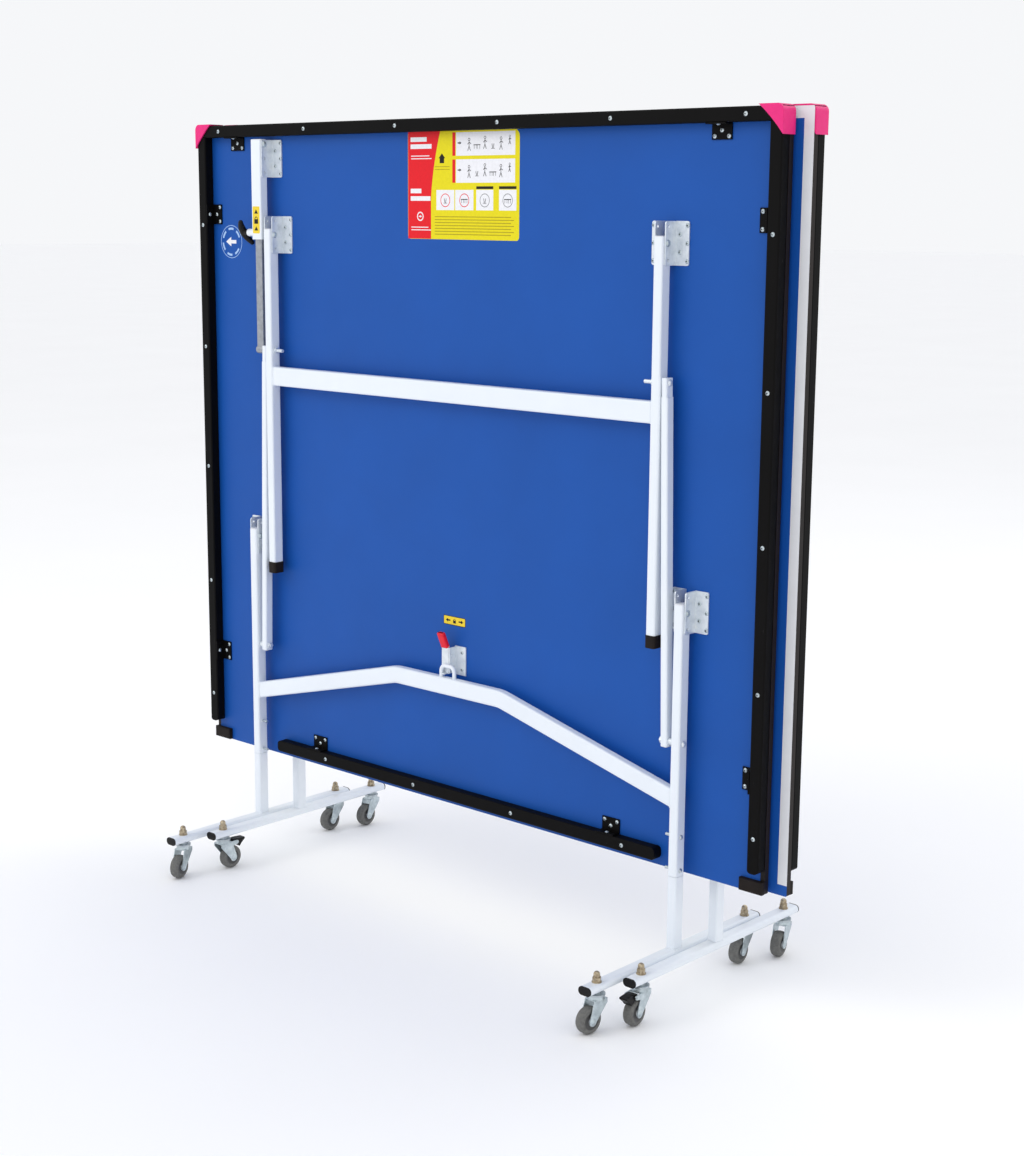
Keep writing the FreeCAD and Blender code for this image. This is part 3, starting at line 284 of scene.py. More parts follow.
def powder_coat(name, colour, speckle, rough, peel, **sockets):
    """Powder coated steel: orange peel, faint colour drift and small scuffs."""
    finish = Finish(name, **sockets)
    finish.soft_edges(0.6 * MM)
    drift = shades(finish, finish.noise(0.08, 4.0), colour, speckle)
    scuff = finish.math("GREATER_THAN", finish.noise(9 * MM, 6.0, 0.7, (1, 1, 0.35)), 0.71)
    worn = tuple(0.75 * c + 0.25 * 0.35 for c in colour[:3]) + (1.0,)
    tone = finish.mix(finish.math("MULTIPLY", scuff, 0.5), drift, worn)
    finish.bump(finish.noise(2.4 * MM, 2.0), peel, 0.5)
    rough_low, rough_high = rough
    return finish.done(tone, finish.spread(finish.noise(0.02, 5.0), rough_low, rough_high))


def plated(name, dark, middle, light, metallic, nut_band=None):
    """Plated steel with faint cloudy bands and fine rolling marks, bronze between two heights."""
    finish = Finish(name, Metallic=metallic)
    finish.soft_edges(0.5 * MM)
    cloud = finish.noise(14 * MM, 5.0, 0.6)
    tone = finish.ramp(cloud, (0.25, dark), (0.55, middle), (0.8, light))
    if nut_band:
        low, high = nut_band
        z = finish.place()[2]
        inside = finish.math("MULTIPLY", finish.math("GREATER_THAN", z, low),
                             finish.math("LESS_THAN", z, high))
        bronze = finish.ramp(finish.noise(5 * MM, 4.0), (0.3, linear(138, 122, 100)),
                             (0.7, linear(206, 192, 164)))
        tone = finish.mix(inside, tone, bronze)
    marks = finish.noise(0.8 * MM, 3.0, 0.6, (1, 1, 0.08))
    finish.bump(marks, 0.05 * MM, 0.3)
    return finish.done(tone, finish.spread(finish.noise(6 * MM, 4.0), 0.3, 0.48))


def moulded(name, colour, rough, grain, depth, speckle=0.06, **sockets):
    """Moulded plastic or rubber with a fine surface grain."""
    finish = Finish(name, **sockets)
    finish.soft_edges(0.8 * MM)
    tone = shades(finish, finish.noise(0.015, 4.0), colour, speckle)
    finish.bump(finish.noise(grain, 3.0), depth, 0.5)
    return finish.done(tone, finish.spread(finish.noise(8 * MM, 4.0), rough - 0.05, rough + 0.07))


def tyre_rubber():
    """Grey non-marking rubber, dusty and faintly worn."""
    finish = Finish("tyre_rubber")
    dust = finish.noise(5 * MM, 5.0, 0.65)
    tone = finish.ramp(dust, (0.25, linear(84, 84, 82)), (0.6, linear(108, 108, 105)),
                       (0.85, linear(132, 128, 122)))
    finish.bump(finish.noise(0.7 * MM, 4.0), 0.15 * MM, 0.6)
    return finish.done(tone, finish.spread(finish.noise(4 * MM), 0.62, 0.8))


def printed(name, colour):
    """Ink on a thin vinyl label."""
    finish = Finish(name, Specular_IOR_Level=0.2)
    tone = shades(finish, finish.noise(6 * MM, 4.0), colour, 0.04)
    finish.bump(finish.noise(12 * MM, 2.0), 0.1 * MM, 0.3)
    return finish.done(tone, finish.spread(finish.noise(9 * MM), 0.3, 0.42))


WHITE_COAT = powder_coat("white_coat", linear(232, 238, 245), 0.015, (0.26, 0.38), 0.05 * MM,
                         Coat_Weight=0.15, Coat_Roughness=0.12)
BLACK_COAT = powder_coat("black_coat", linear(9, 8, 8), 0.2, (0.45, 0.6), 0.07 * MM,
                         Specular_IOR_Level=0.08)
ZINC = plated("zinc_plate", linear(206, 213, 220), linear(228, 234, 239), linear(236, 238, 236), 0.55)
FORK_ZINC = plated("fork_zinc", linear(164, 175, 180), linear(198, 209, 213),
                   linear(222, 229, 231), 0.9)
BOLT_ZINC = plated("bolt_zinc", linear(160, 168, 172), linear(192, 200, 204),
                   linear(214, 220, 222), 0.9, (RAIL_TOP - 1 * MM, RAIL_TOP + 40 * MM))
ROD_STEEL = plated("rod_steel", linear(140, 144, 150), linear(166, 170, 176),
                   linear(182, 184, 188), 0.85)
BLACK_PLASTIC = moulded("black_plastic", linear(14, 12, 12), 0.5, 0.9 * MM, 0.08 * MM, 0.15,
                        Specular_IOR_Level=0.25)
BLACK_RUBBER = moulded("black_rubber", linear(26, 19, 16), 0.66, 0.7 * MM, 0.12 * MM, 0.2,
                       Specular_IOR_Level=0.2)
PINK_PLASTIC = moulded("pink_plastic", (0.83, 0.018, 0.20, 1.0), 0.4, 1.4 * MM, 0.05 * MM, 0.04,
                       Subsurface_Weight=0.05, Specular_IOR_Level=0.3)
RED_PLASTIC = moulded("red_plastic", (0.78, 0.006, 0.025, 1.0), 0.38, 1.2 * MM, 0.05 * MM, 0.06,
                      Specular_IOR_Level=0.35)
WHITE_PLASTIC = moulded("white_plastic", linear(232, 234, 238), 0.38, 1.0 * MM, 0.04 * MM, 0.02)
HUB_PLASTIC = moulded("hub_plastic", linear(72, 72, 72), 0.5, 0.8 * MM, 0.06 * MM, 0.1)
TYRE = tyre_rubber()
INKS = {
    "red": printed("ink_red", (0.76, 0.009, 0.018, 1.0)),
    "yellow": printed("ink_yellow", linear(228, 214, 22)),
    "white": printed("ink_white", linear(236, 236, 240)),
    "black": printed("ink_black", linear(22, 20, 20)),
    "grey": printed("ink_grey", linear(150, 150, 152)),
    "amber": printed("ink_amber", linear(236, 206, 56)),
    "olive": printed("ink_olive", linear(168, 150, 24)),
    "pale": printed("ink_pale", linear(168, 200, 240)),
}


def finish_cad_nodes():
    """Gives every carried-over CAD node the finish of its material slot."""
    finishes = {"white_frame": WHITE_COAT, "black_apron": BLACK_COAT, "zinc_steel": ZINC,
                "black_plastic": BLACK_PLASTIC, "black_rubber": BLACK_RUBBER,
                "pink_plastic": PINK_PLASTIC, "red_plastic": RED_PLASTIC, "grey_tyre": TYRE}
    special = {half.name + "_tabletop": board_paint(half) for half in HALVES}
    for half in HALVES:
        special[half.name + "_trolley_bolts"] = BOLT_ZINC
        special[half.name + "_strut_rod"] = ROD_STEEL
    for row in frame["record"]["subparts"]:
        name = row["node"]
        finish = special.get(name) or finishes[row["material_slot"]]
        if name.endswith(("_castor_fork", "_top_fasteners")):
            finish = FORK_ZINC
        mesh = NODES[name].data
        if not mesh.materials:
            mesh.materials.append(finish)
        for index in range(len(mesh.materials)):
            mesh.materials[index] = finish


finish_cad_nodes()


# ------------------------------------------------------------------------- mesh helpers
def new_piece(half, name, shape, body, materials, smooth_angle=math.radians(35)):
    """Turns a bmesh in the half's own coordinates into a piece that rides on a body."""
    mesh = bpy.data.meshes.new(half.name + "_" + name)
    bmesh.ops.recalc_face_normals(shape, faces=shape.faces)
    for face in shape.faces:
        face.smooth = True
    for edge in shape.edges:
        if len(edge.link_faces) != 2 or edge.calc_face_angle(0) > smooth_angle:
            edge.smooth = False
    shape.to_mesh(mesh)
    shape.free()
    mesh.transform(half.matrix)
    for material in materials:
        mesh.materials.append(material)
    piece = bpy.data.objects.new(mesh.name, mesh)
    bpy.context.scene.collection.objects.link(piece)
    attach(piece, half.name + "_" + body)
    return piece


def prism(shape, outline, place, depth, material=0):
    """Adds a closed prism: outline points (a, b) put in space by place(a, b, depth)."""
    low = [shape.verts.new(place(a, b, 0.0)) for a, b in outline]
    high = [shape.verts.new(place(a, b, depth)) for a, b in outline]
    faces = [shape.faces.new(low[::-1]), shape.faces.new(high)]
    for index in range(len(outline)):
        after = (index + 1) % len(outline)
        faces.append(shape.faces.new((low[index], low[after], high[after], high[index])))
    for face in faces:
        face.material_index = material


def rounded_rectangle(width, height, radius, steps=6):
    """Outline points of a rounded rectangle about the origin."""
    points = []
    for quarter, (sx, sy) in enumerate(((1, 1), (-1, 1), (-1, -1), (1, -1))):
        for step in range(steps + 1):
            angle = math.radians(90 * (quarter + step / steps))
            points.append((sx * (width / 2 - radius) + radius * math.cos(angle),
                           sy * (height / 2 - radius) + radius * math.sin(angle)))
    return points


def circle_points(centre_a, centre_b, radius, steps=28):
    """Outline points of a circle."""
    return [(centre_a + radius * math.cos(math.tau * k / steps),
             centre_b + radius * math.sin(math.tau * k / steps)) for k in range(steps)]


def loft(shape, rings):
    """Skins a list of equally long point rings, capping both ends."""
    layers = [[shape.verts.new(point) for point in ring] for ring in rings]
    count = len(layers[0])
    for low, high in zip(layers, layers[1:]):
        for index in range(count):
            after = (index + 1) % count
            shape.faces.new((low[index], low[after], high[after], high[index]))
    for ring in (layers[0][::-1], layers[-1]):
        shape.faces.new(ring)


def lathe(shape, profile, centre, axis, segments):
    """Turns (radius, along, material) points about an axis through centre."""
    axis = axis.normalized()
    side = axis.orthogonal().normalized()
    other = axis.cross(side)
    rings = []
    for radius, along, _ in profile:
        ring = []
        for step in range(segments):
            angle = math.tau * step / segments
            spoke = side * math.cos(angle) + other * math.sin(angle)
            ring.append(shape.verts.new(centre + axis * along + spoke * radius))
        rings.append(ring)
    for index in range(len(profile)):
        low, high = rings[index], rings[(index + 1) % len(profile)]
        for step in range(segments):
            after = (step + 1) % segments
            face = shape.faces.new((low[step], low[after], high[after], high[step]))
            face.material_index = profile[index][2]


# ------------------------------------------------------------------------------- labels
SHEET_THICK = 0.18 * MM
INK_STEP = 0.03 * MM


class Label:
    """A thin printed sheet stuck on a face, drawn in millimetres from its lower left corner."""

    def __init__(self, width, height, corner, place):
        self.shape = bmesh.new()
        self.inks = []
        self.place = place
        self.outline = [(a + width / 2, b + height / 2)
                        for a, b in rounded_rectangle(width, height, corner)]

    def sheet(self, ink):
        self.draw(self.outline, ink)

    def index(self, ink):
        if ink not in self.inks:
            self.inks.append(ink)
        return self.inks.index(ink)

    def draw(self, outline, ink, level=1):
        """One printed patch, a little prouder than the one under it."""
        depth = SHEET_THICK + INK_STEP * (level - 1)
        prism(self.shape, outline, self.place, depth, self.index(ink))

    def bar(self, low_a, low_b, high_a, high_b, ink, level=2):
        self.draw([(low_a, low_b), (high_a, low_b), (high_a, high_b), (low_a, high_b)], ink, level)

    def stroke(self, points, width, ink, level=4):
        """A pen line through points, made of one bar a stretch."""
        for (a0, b0), (a1, b1) in zip(points, points[1:]):
            length = math.hypot(a1 - a0, b1 - b0)
            off_a, off_b = -(b1 - b0) / length * width / 2, (a1 - a0) / length * width / 2
            self.draw([(a0 - off_a, b0 - off_b), (a1 - off_a, b1 - off_b),
                       (a1 + off_a, b1 + off_b), (a0 + off_a, b0 + off_b)], ink, level)

    def finished(self, half, name, body):
        return new_piece(half, name, self.shape, body, [INKS[ink] for ink in self.inks])


def on_underside(low_x, low_z):
    """Places label millimetres on the board's underside, facing away from the board."""
    def place(a, b, depth):
        return Vector((low_x + a * MM, -depth, low_z + b * MM))
    return place


def table_sign(label, a, b, scale, folded):
    """A small side view of the table: flat on its legs, or its two halves folded up."""
    if folded:
        label.stroke([(a - 3 * scale, b + 4 * scale), (a - 1 * scale, b - 5 * scale)], 1.3, "black")
        label.stroke([(a + 3 * scale, b + 4 * scale), (a + 1 * scale, b - 5 * scale)], 1.3, "black")
        label.stroke([(a - 5 * scale, b - 6 * scale), (a + 5 * scale, b - 6 * scale)], 1.0, "black")
    else:
        label.stroke([(a - 10 * scale, b + 2 * scale), (a + 10 * scale, b + 2 * scale)], 1.5, "black")
        for leg in (-8, -2, 2, 8):
            label.stroke([(a + leg * scale, b + 2 * scale), (a + leg * scale, b - 6 * scale)],
                         0.9, "black")


def figure_sign(label, a, b, scale):
    """A small standing figure made of a round head and five strokes."""
    label.draw(circle_points(a, b + 9 * scale, 3.0 * scale, 14), "black", 4)
    label.draw(circle_points(a, b + 9 * scale, 1.9 * scale, 14), "white", 5)
    for start, end in (((0, 6), (0, -3)), ((0, 4), (5, 1)), ((0, 4), (-4, 0)),
                       ((0, -3), (3.5, -12)), ((0, -3), (-3.5, -12))):
        label.stroke([(a + start[0] * scale, b + start[1] * scale),
                      (a + end[0] * scale, b + end[1] * scale)], 1.3, "black")


def arrow_sign(label, a, b, reach, direction, ink="black", level=4):
    """A flat arrow pointing along the label's first axis."""
    tip, tail = a + direction * reach, a - direction * reach
    shaft, barb = 0.22 * reach, 0.6 * reach
    label.draw([(tail, b - shaft), (a, b - shaft), (a, b - barb), (tip, b), (a, b + barb),
                (a, b + shaft), (tail, b + shaft)][::direction], ink, level)


# sizes of the labels, and the places of their lower left corners, in millimetres
INSTRUCTION_SIZE = (296.0, 207.0)
INSTRUCTION_LOW = (-134.5, 1140.0)
INSTRUCTION_BIG_CORNER = 16.0
LATCH_LABEL_SIZE = (61.0, 18.5)
LATCH_LABEL_LOW = (-36, 375)
STRUT_LABEL_SIZE = (22.0, 56.0)
STRUT_LABEL_DROP = 1.5
STICKER_RADIUS = 36.0
STICKER_IN_FROM_EDGE = 82
STICKER_HEIGHT = 1125


def make_instruction_label(half):
    """Large label: a red column beside a yellow field of picture panels, without any words."""
    wide, tall = INSTRUCTION_SIZE
    low_a, low_b = INSTRUCTION_LOW
    label = Label(wide, tall, 7.0, on_underside(low_a * MM, low_b * MM))
    label.outline = [(a, b) for a, b in label.outline if a < wide - 8 or b < tall - 8]
    radius = INSTRUCTION_BIG_CORNER
    cut = [(wide - radius + radius * math.cos(math.radians(t)),
            tall - radius + radius * math.sin(math.radians(t))) for t in range(0, 91, 10)]
    label.outline = cut + label.outline
    label.sheet("yellow")
    heights = [k / 14 for k in range(15)]
    red = [((0.215 + 0.085 * max(0.0, (v - 0.35) / 0.65) ** 1.6) * wide, v * tall)
           for v in heights]
    label.draw([(red[0][0], 0.5)] + red[1:-1] + [(red[-1][0], tall - 0.5)]
               + [(0.5, tall - 0.5), (0.5, 0.5)], "red", 2)
    for v, length in ((0.90, 0.150), (0.835, 0.195), (0.425, 0.10), (0.355, 0.185)):
        label.bar(0.025 * wide, v * tall, (0.025 + length) * wide, (v + 0.042) * tall, "white", 3)
    for v, length in ((0.765, 0.17), (0.74, 0.19), (0.105, 0.16), (0.08, 0.185)):
        label.bar(0.03 * wide, v * tall, (0.03 + length) * wide, (v + 0.008) * tall, "white", 3)
    label.draw(circle_points(0.115 * wide, 0.21 * tall, 9.0), "white", 3)
    label.draw(circle_points(0.115 * wide, 0.21 * tall, 6.6), "red", 4)
    arrow_sign(label, 0.115 * wide, 0.21 * tall, 4.4, 1, "white", 5)
    for low_v, folded_first in ((0.765, False), (0.52, True)):
        high_v = low_v + 0.212
        label.bar(0.41 * wide, low_v * tall, 0.437 * wide, high_v * tall, "red")
        label.bar(0.443 * wide, low_v * tall, 0.962 * wide, high_v * tall, "white")
        middle = (low_v + high_v) / 2 * tall
        arrow_sign(label, 0.475 * wide, middle + 2, 5.0, 1, "black")
        for u, rise in ((0.56, -1), (0.70, 2), (0.84, 0), (0.915, 6)):
            figure_sign(label, u * wide, middle + rise, 1.0 if u < 0.9 else 0.7)
        for u in (0.63, 0.77):
            table_sign(label, u * wide, middle - 4, 0.9, folded_first == (u < 0.7))
    for index, low_u in enumerate((0.265, 0.437, 0.625, 0.825)):
        high_u = low_u + (0.163 if index < 2 else 0.15)
        label.bar(low_u * wide, 0.27 * tall, high_u * wide, 0.455 * tall, "white")
        middle_a, middle_b = (low_u + high_u) / 2 * wide, 0.36 * tall
        label.draw(circle_points(middle_a, middle_b, 13.0), "grey" if index > 1 else "red", 3)
        label.draw(circle_points(middle_a, middle_b, 11.4), "white", 4)
        table_sign(label, middle_a, middle_b, 0.9, index % 2 == 0)
        if index > 1:
            label.bar(low_u * wide, 0.462 * tall, high_u * wide, 0.487 * tall, "black", 3)
    label.draw([(u * wide, v * tall) for u, v in
                ((0.285, 0.745), (0.315, 0.79), (0.345, 0.745), (0.335, 0.745), (0.335, 0.70),
                 (0.295, 0.70), (0.295, 0.745))], "black", 3)
    for v in (0.665, 0.64):
        label.bar(0.25 * wide, v * tall, 0.385 * wide, v * tall + 1.3, "olive", 3)
    for row in range(7):
        low_b = (0.205 - 0.027 * row) * tall
        label.bar(0.25 * wide, low_b, (0.955 if row % 2 else 0.93) * wide, low_b + 1.6, "olive", 3)
    label.finished(half, "instruction_label", "top")


def make_latch_label(half):
    """Small amber plate above the latch, with a padlock sign between two arrows."""
    wide, tall = LATCH_LABEL_SIZE
    low_a, low_b = LATCH_LABEL_LOW
    label = Label(wide, tall, 2.0, on_underside(low_a * MM, low_b * MM))
    label.sheet("black")
    label.draw([(a + wide / 2, b + tall / 2)
                for a, b in rounded_rectangle(wide - 2.4, tall - 2.4, 1.4)], "amber", 2)
    padlock_sign(label, wide / 2, tall / 2, 1.0)
    for side in (-1, 1):
        arrow_sign(label, wide / 2 + side * 18, tall / 2, 6.5, side, "black", 3)
    label.finished(half, "latch_label", "top")


def padlock_sign(label, a, b, scale):
    """A closed padlock: a body and its shackle."""
    body = [(a + x, b - 2.0 * scale + y)
            for x, y in rounded_rectangle(7.6 * scale, 6.0 * scale, 0.8 * scale, 3)]
    label.draw(body, "black", 3)
    shackle = [(a + 2.5 * scale * math.cos(math.pi * k / 10),
                b + (1.0 + 2.9 * math.sin(math.pi * k / 10)) * scale) for k in range(11)]
    label.stroke(shackle, 1.1 * scale, "black", 3)


def make_strut_label(half):
    """Tall amber label on the lock strut, above its boss."""
    face_y = half.own_box("strut_tube")[0].y
    rod_low, rod_high = half.own_box("strut_rod")
    centre_x = rod_low.x / 2 + rod_high.x / 2
    handle_low, handle_high = half.own_box("strut_handle")
    base_z = (handle_low.z + handle_high.z) / 2 - STRUT_LABEL_DROP * MM
    wide, tall = STRUT_LABEL_SIZE

    def place(a, b, depth):
        return Vector((centre_x + (a - wide / 2) * MM, face_y - depth, base_z + b * MM))

    label = Label(wide, tall, 1.8, place)
    label.sheet("amber")
    for b in (10.0, 45.0):
        label.draw([(wide / 2 - 6.0, b - 4.0), (wide / 2 + 6.0, b - 4.0), (wide / 2, b + 5.0)],
                   "black", 2)
    padlock_sign(label, wide / 2, tall / 2, 1.6)
    label.finished(half, "strut_label", "strut_upper")


def make_pull_sticker(half):
    """Round clear sticker beside the strut's handle: a white ring of dashes round an arrow."""
    centre = STICKER_RADIUS
    low_x = -half.half_width + STICKER_IN_FROM_EDGE * MM - centre * MM
    shape = Label(2 * centre, 2 * centre, centre - 0.1,
                  on_underside(low_x, (STICKER_HEIGHT - centre) * MM))

    def arc(radius, width, start, end, steps):
        points = []
        for k in range(steps + 1):
            angle = math.radians(start + (end - start) * k / steps)
            points.append((centre + radius * math.cos(angle), centre + radius * math.sin(angle)))
        shape.stroke(points, width, "pale", 1)

    arc(34.6, 1.2, 0, 360, 60)
    for start in (20, 75, 130, 185, 240, 295):
        arc(28.0, 4.5, start, start + 34, 6)
    arrow_sign(shape, centre - 1.0, centre, 17.0, -1, "white", 1)
    shape.finished(half, "pull_sticker", "top")


for each in HALVES:
    make_instruction_label(each)
    make_latch_label(each)
    make_strut_label(each)
    make_pull_sticker(each)


# ---------------------------------------------------------------------- small fittings
# each plug: body, node, up or down, tube width, depth and corner, how far its middle is in
# from the node's outer side, and the sides it is on
TUBE_PLUGS = (("trolley", "posts", 1, 20, 25, 4, 10, (-1, 1)),
              ("legs", "leg_frame", 1, 20, 25, 4, 10, (-1, 1)),
              ("links", "link_bars", -1, 15, 20, 3.5, 7.75, (-1, 1)),
              ("strut_upper", "strut_tube", 1, 30, 20, 3, 15, (1,)))
# (in from the tube's outside, out of the tube's end) up a plug, from its stem to its crown
PLUG_PROFILE = ((2.2, -4.5), (1.7, -3.8), (1.7, -0.05), (0.3, -0.04), (0.1, 0.5), (0.5, 1.2),
                (1.8, 1.7), (5.0, 1.95))


def make_tube_plugs(half):
    """Domed plastic plugs in the open ends of posts, legs, links and the strut."""
    for body, node, way, width, depth, corner, inward, sides in TUBE_PLUGS:
        low, high = half.own_box(node)
        y = (low.y + high.y) / 2
        z = high.z if way > 0 else low.z
        shape = bmesh.new()
        for side in sides:
            x = side * (high.x - inward * MM)
            rings = []
            for shrink, rise in PLUG_PROFILE:
                outline = rounded_rectangle(width - 2 * shrink, depth - 2 * shrink,
                                            max(corner - shrink, 0.6), 5)
                rings.append([Vector((x + a * MM, y + b * MM, z + way * rise * MM))
                              for a, b in outline])
            loft(shape, rings)
        new_piece(half, body + "_tube_plugs", shape, body, [WHITE_PLASTIC])


def bead(shape, path, normal, radius):
    """A rippled weld bead along a closed path."""
    count = len(path)
    sides = 8
    layers = []
    for index, point in enumerate(path):
        ahead = path[(index + 1) % count] - path[index - 1]
        ahead.normalize()
        out = ahead.cross(normal).normalized()
        swell = radius * (1 + 0.16 * math.sin(index * 2.4) + 0.07 * math.sin(index * 0.9 + 1))
        layers.append([shape.verts.new(point + swell * (out * math.cos(math.tau * k / sides)
                                                       + normal * math.sin(math.tau * k / sides)))
                       for k in range(sides)])
    for index in range(count):
        low, high = layers[index], layers[(index + 1) % count]
        for k in range(sides):
            after = (k + 1) % sides
            shape.faces.new((low[k], low[after], high[after], high[k]))


def section_path(centre, first, second, width, height, corner, steps=70):
    """Evenly spaced points round a rounded rectangle spanned by two directions."""
    outline = rounded_rectangle(width, height, corner, 8)
    points = [centre + first * a * MM + second * b * MM for a, b in outline]
    lengths = [0.0]
    loop = points + points[:1]
    for start, end in zip(loop, loop[1:]):
        lengths.append(lengths[-1] + (end - start).length)
    path = []
    for k in range(steps):
        wanted = lengths[-1] * k / steps
        index = max(i for i in range(len(points)) if lengths[i] <= wanted)
        share = (wanted - lengths[index]) / max(lengths[index + 1] - lengths[index], 1e-9)
        path.append(loop[index].lerp(loop[index + 1], share))
    return path


TUBE_HALF_WIDTH = 10 * MM
WELD_RADIUS = 1.5 * MM
WELD_GAP = 0.2 * MM
WELD_SINK = 1.2 * MM
ARCH_END_RISE = 18.05 * MM
LEG_BAR_HEIGHT = 846 * MM


def make_welds(half):
    """Weld beads where the posts meet the foot rails and the arch, and the legs their bar."""
    x_way, y_way, z_way = Vector((1, 0, 0)), Vector((0, 1, 0)), Vector((0, 0, 1))
    low, high = half.own_box("posts")
    pivot_y = (low.y + high.y) / 2
    post_x = high.x - TUBE_HALF_WIDTH
    rail_top = half.own_box("foot_rails")[1].z
    arch_end_z = half.own_box("cross_tube")[0].z + ARCH_END_RISE
    leg_inner_x = half.own_box("leg_frame")[1].x - 2 * TUBE_HALF_WIDTH
    trolley, legs = bmesh.new(), bmesh.new()
    for side in (-1, 1):
        foot = section_path(Vector((side * post_x, pivot_y, rail_top - WELD_SINK)),
                            x_way, y_way, 20.4, 25.4, 4.2)
        bead(trolley, foot, z_way, WELD_RADIUS)
        arch_x = side * (post_x - TUBE_HALF_WIDTH - WELD_GAP)
        arch = section_path(Vector((arch_x, pivot_y, arch_end_z)), y_way, z_way, 20.4, 36.6, 5.0)
        bead(trolley, arch, x_way, WELD_RADIUS)
        bar = section_path(Vector((side * (leg_inner_x - WELD_GAP), pivot_y, LEG_BAR_HEIGHT)),
                           y_way, z_way, 20.2, 40.2, 4.0)
        bead(legs, bar, x_way, WELD_RADIUS)
    new_piece(half, "trolley_welds", trolley, "trolley", [WHITE_COAT])
    new_piece(half, "leg_welds", legs, "legs", [WHITE_COAT])


def loose_parts(node):
    """Centre and size of each separate solid in a CAD node's mesh."""
    mesh = NODES[node].data
    parent = list(range(len(mesh.vertices)))

    def root(index):
        while parent[index] != index:
            parent[index] = parent[parent[index]]
            index = parent[index]
        return index

    same_place = {}
    for vertex in mesh.vertices:
        key = tuple(round(c, 6) for c in vertex.co)
        first = same_place.setdefault(key, vertex.index)
        parent[root(vertex.index)] = root(first)
    for edge in mesh.edges:
        parent[root(edge.vertices[0])] = root(edge.vertices[1])
    groups = {}
    for vertex in mesh.vertices:
        groups.setdefault(root(vertex.index), []).append(vertex.co)
    parts = []
    for points in groups.values():
        low = Vector([min(p[i] for p in points) for i in range(3)])
        high = Vector([max(p[i] for p in points) for i in range(3)])
        parts.append(((low + high) / 2, high - low))
    return sorted(parts, key=lambda part: tuple(round(c, 4) for c in part[0]))


SCREW_HEAD = 8.4 * MM
# sizes of the black crosses painted as the shade in the screw heads' cross recesses
RECESS_REACH = 2.1 * MM
RECESS_HALF_WIDTH = 0.45 * MM
RECESS_DEPTH = 0.5 * MM


def make_screw_recess_shade(half):
    """Black crosses flush with the screw heads, painted shade of their cross recesses, each turned its own way."""
    shape = bmesh.new()
    back = half.matrix.inverted()
    for count, (centre, size) in enumerate(loose_parts(half.name + "_top_fasteners")):
        if max(size.x, size.z) > SCREW_HEAD * 1.2 or size.y > SCREW_HEAD / 2:
            continue
        own = back @ centre
        top_y = own.y - size.y / 2
        turn = math.radians(37 * count % 90)
        for quarter in (0, 90):
            angle = turn + math.radians(quarter)
            along = Vector((math.cos(angle), 0, math.sin(angle)))
            across = Vector((-math.sin(angle), 0, math.cos(angle)))

            def place(a, b, depth):
                return Vector((own.x, top_y + RECESS_DEPTH - depth, own.z)) + along * a + across * b

            long, narrow = RECESS_REACH, RECESS_HALF_WIDTH
            prism(shape, [(-long, -narrow * 0.5), (-long * 0.7, -narrow), (long * 0.7, -narrow),
                          (long, -narrow * 0.5), (long, narrow * 0.5), (long * 0.7, narrow),
                          (-long * 0.7, narrow), (-long, narrow * 0.5)],
                  place, RECESS_DEPTH + 0.02 * MM)
    # black plastic crosses: painted shade standing in for the screws' cross recesses
    new_piece(half, "screw_recesses", shape, "top", [BLACK_PLASTIC])


GRIP_TILT = math.radians(24)
GRIP_WIDTH = 17.0
GRIP_DEPTH = 8.0
# (along the grip from its middle, out from the lever's side), from the rolled edge to the tip
GRIP_PROFILE = ((-15.2, 0.2), (-15.4, 0.9), (-14.6, 1.3), (-13.6, 0.9), (-12.0, 0.7),
                (6.0, 0.75), (12.0, 0.8), (16.6, 0.7), (17.8, 0.0), (18.6, -1.4), (19.0, -3.4))


def make_latch_grip(half):
    """Dipped red sleeve over the latch lever's tip, with a rolled lower edge."""
    parts = loose_parts(half.name + "_latch_lever")
    centre, _ = max(parts, key=lambda part: part[0].z)
    own = half.matrix.inverted() @ centre
    along = Vector((0, -math.sin(GRIP_TILT), math.cos(GRIP_TILT)))
    across = Vector((0, math.cos(GRIP_TILT), math.sin(GRIP_TILT)))
    shape = bmesh.new()
    rings = []
    for along_mm, grow in GRIP_PROFILE:
        outline = rounded_rectangle(GRIP_WIDTH + 2 * grow,
                                    GRIP_DEPTH + 2 * grow * (0.8 if grow > 0 else 0.75), 3.2, 6)
        rings.append([own + Vector((a * MM, 0, 0)) + across * b * MM + along * along_mm * MM
                      for a, b in outline])
    loft(shape, rings)
    new_piece(half, "latch_grip", shape, "latch", [RED_PLASTIC])


# (radius, out from the wheel's middle plane, material) down one side of a castor wheel
TYRE_RING, HUB_RING, BEARING_RING = 0, 1, 2
WHEEL_SIDE = ((4.2, 10.4, BEARING_RING), (6.6, 10.4, BEARING_RING), (7.2, 9.9, BEARING_RING),
              (7.4, 9.2, HUB_RING), (9.0, 8.3, HUB_RING), (12.6, 7.9, HUB_RING),
              (14.4, 8.4, HUB_RING), (15.6, 9.3, HUB_RING), (16.1, 9.3, TYRE_RING),
              (16.6, 9.6, TYRE_RING), (20.2, 9.7, TYRE_RING), (21.0, 9.3, TYRE_RING),
              (21.6, 9.4, TYRE_RING), (23.2, 8.2, TYRE_RING), (24.3, 6.4, TYRE_RING),
              (24.8, 4.0, TYRE_RING), (25.0, 1.4, TYRE_RING))


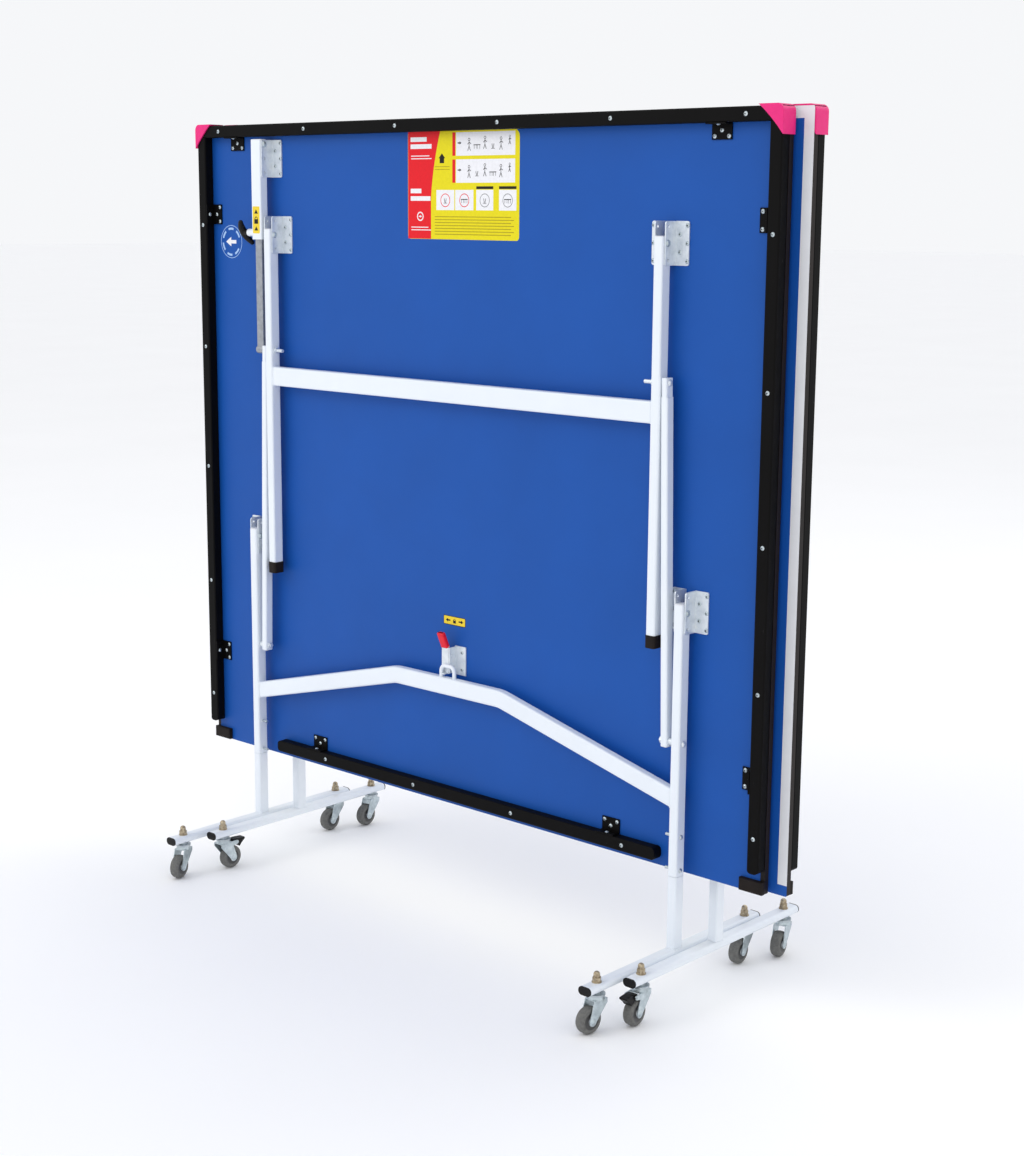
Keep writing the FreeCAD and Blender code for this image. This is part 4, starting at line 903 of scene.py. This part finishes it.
def make_wheels(half):
    """Turned castor wheels: grey tyre with a crown, dark hub and zinc bearing ring."""
    profile = [(r * MM, x * MM, m) for r, x, m in WHEEL_SIDE]
    profile += [(r * MM, -x * MM, m) for r, x, m in WHEEL_SIDE[::-1]]
    for name, joint in JOINTS.items():
        if not name.startswith(half.name) or not name.endswith("_wheel_roll"):
            continue
        body = joint["child"]
        node = body.replace("_wheel", "_castor_wheel")
        centre = half.matrix.inverted() @ Vector(joint["pos_m"])
        axis = half.matrix.to_3x3().inverted() @ Vector(joint["axis"])
        shape = bmesh.new()
        lathe(shape, profile, centre, axis, 72)
        part = body[len(half.name) + 1:]
        piece = new_piece(half, part + "_turned", shape, part, [TYRE, HUB_PLASTIC, ZINC])
        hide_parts(node)


for each in HALVES:
    make_tube_plugs(each)
    make_welds(each)
    make_screw_recess_shade(each)
    make_latch_grip(each)
    make_wheels(each)


# --------------------------------------------------------------------------- the studio
FLOOR_REACH = 60.0
FLOOR_DROP = 0.5 * MM
TABLE_MIDDLE = (0, 0, 0.8)
# name, place, diameter and power of each soft light
SOFTBOXES = (("key", (-2.6, -4.2, 4.2), 3.0, 55),
             ("fill", (4.6, -2.4, 2.6), 3.2, 8),
             ("back", (1.5, 4.6, 3.8), 3.0, 30),
             ("top", (0.0, 0.0, 5.5), 4.0, 14))


def make_floor():
    """Pale seamless floor."""
    finish = Finish("floor", Roughness=0.75)
    tone = shades(finish, finish.noise(0.9, 3.0), linear(253, 253, 254), 0.008)
    material = finish.done(tone)
    mesh = bpy.data.meshes.new("floor")
    shape = bmesh.new()
    bmesh.ops.create_grid(shape, x_segments=2, y_segments=2, size=FLOOR_REACH)
    shape.to_mesh(mesh)
    shape.free()
    mesh.materials.append(material)
    floor = bpy.data.objects.new("floor", mesh)
    bpy.context.scene.collection.objects.link(floor)
    floor.location.z = -FLOOR_DROP


def add_softbox(name, place, size, power):
    """A round area light that faces the table's middle."""
    data = bpy.data.lights.new(name, "AREA")
    data.shape = "DISK"
    data.size = size
    data.energy = power
    light = bpy.data.objects.new(name, data)
    bpy.context.scene.collection.objects.link(light)
    light.location = place
    aim = Vector(TABLE_MIDDLE) - Vector(place)
    light.rotation_euler = aim.to_track_quat("-Z", "Y").to_euler()


def make_studio():
    """Near-white surroundings and four soft lights."""
    make_floor()
    world = bpy.data.worlds.new("studio")
    world.use_nodes = True
    background = world.node_tree.nodes["Background"]
    background.inputs["Color"].default_value = (0.97, 0.98, 1.0, 1.0)
    background.inputs["Strength"].default_value = 0.95
    bpy.context.scene.world = world
    for name, place, size, power in SOFTBOXES:
        add_softbox(name, place, size, power)
    bpy.context.scene.view_settings.view_transform = "Standard"


make_studio()
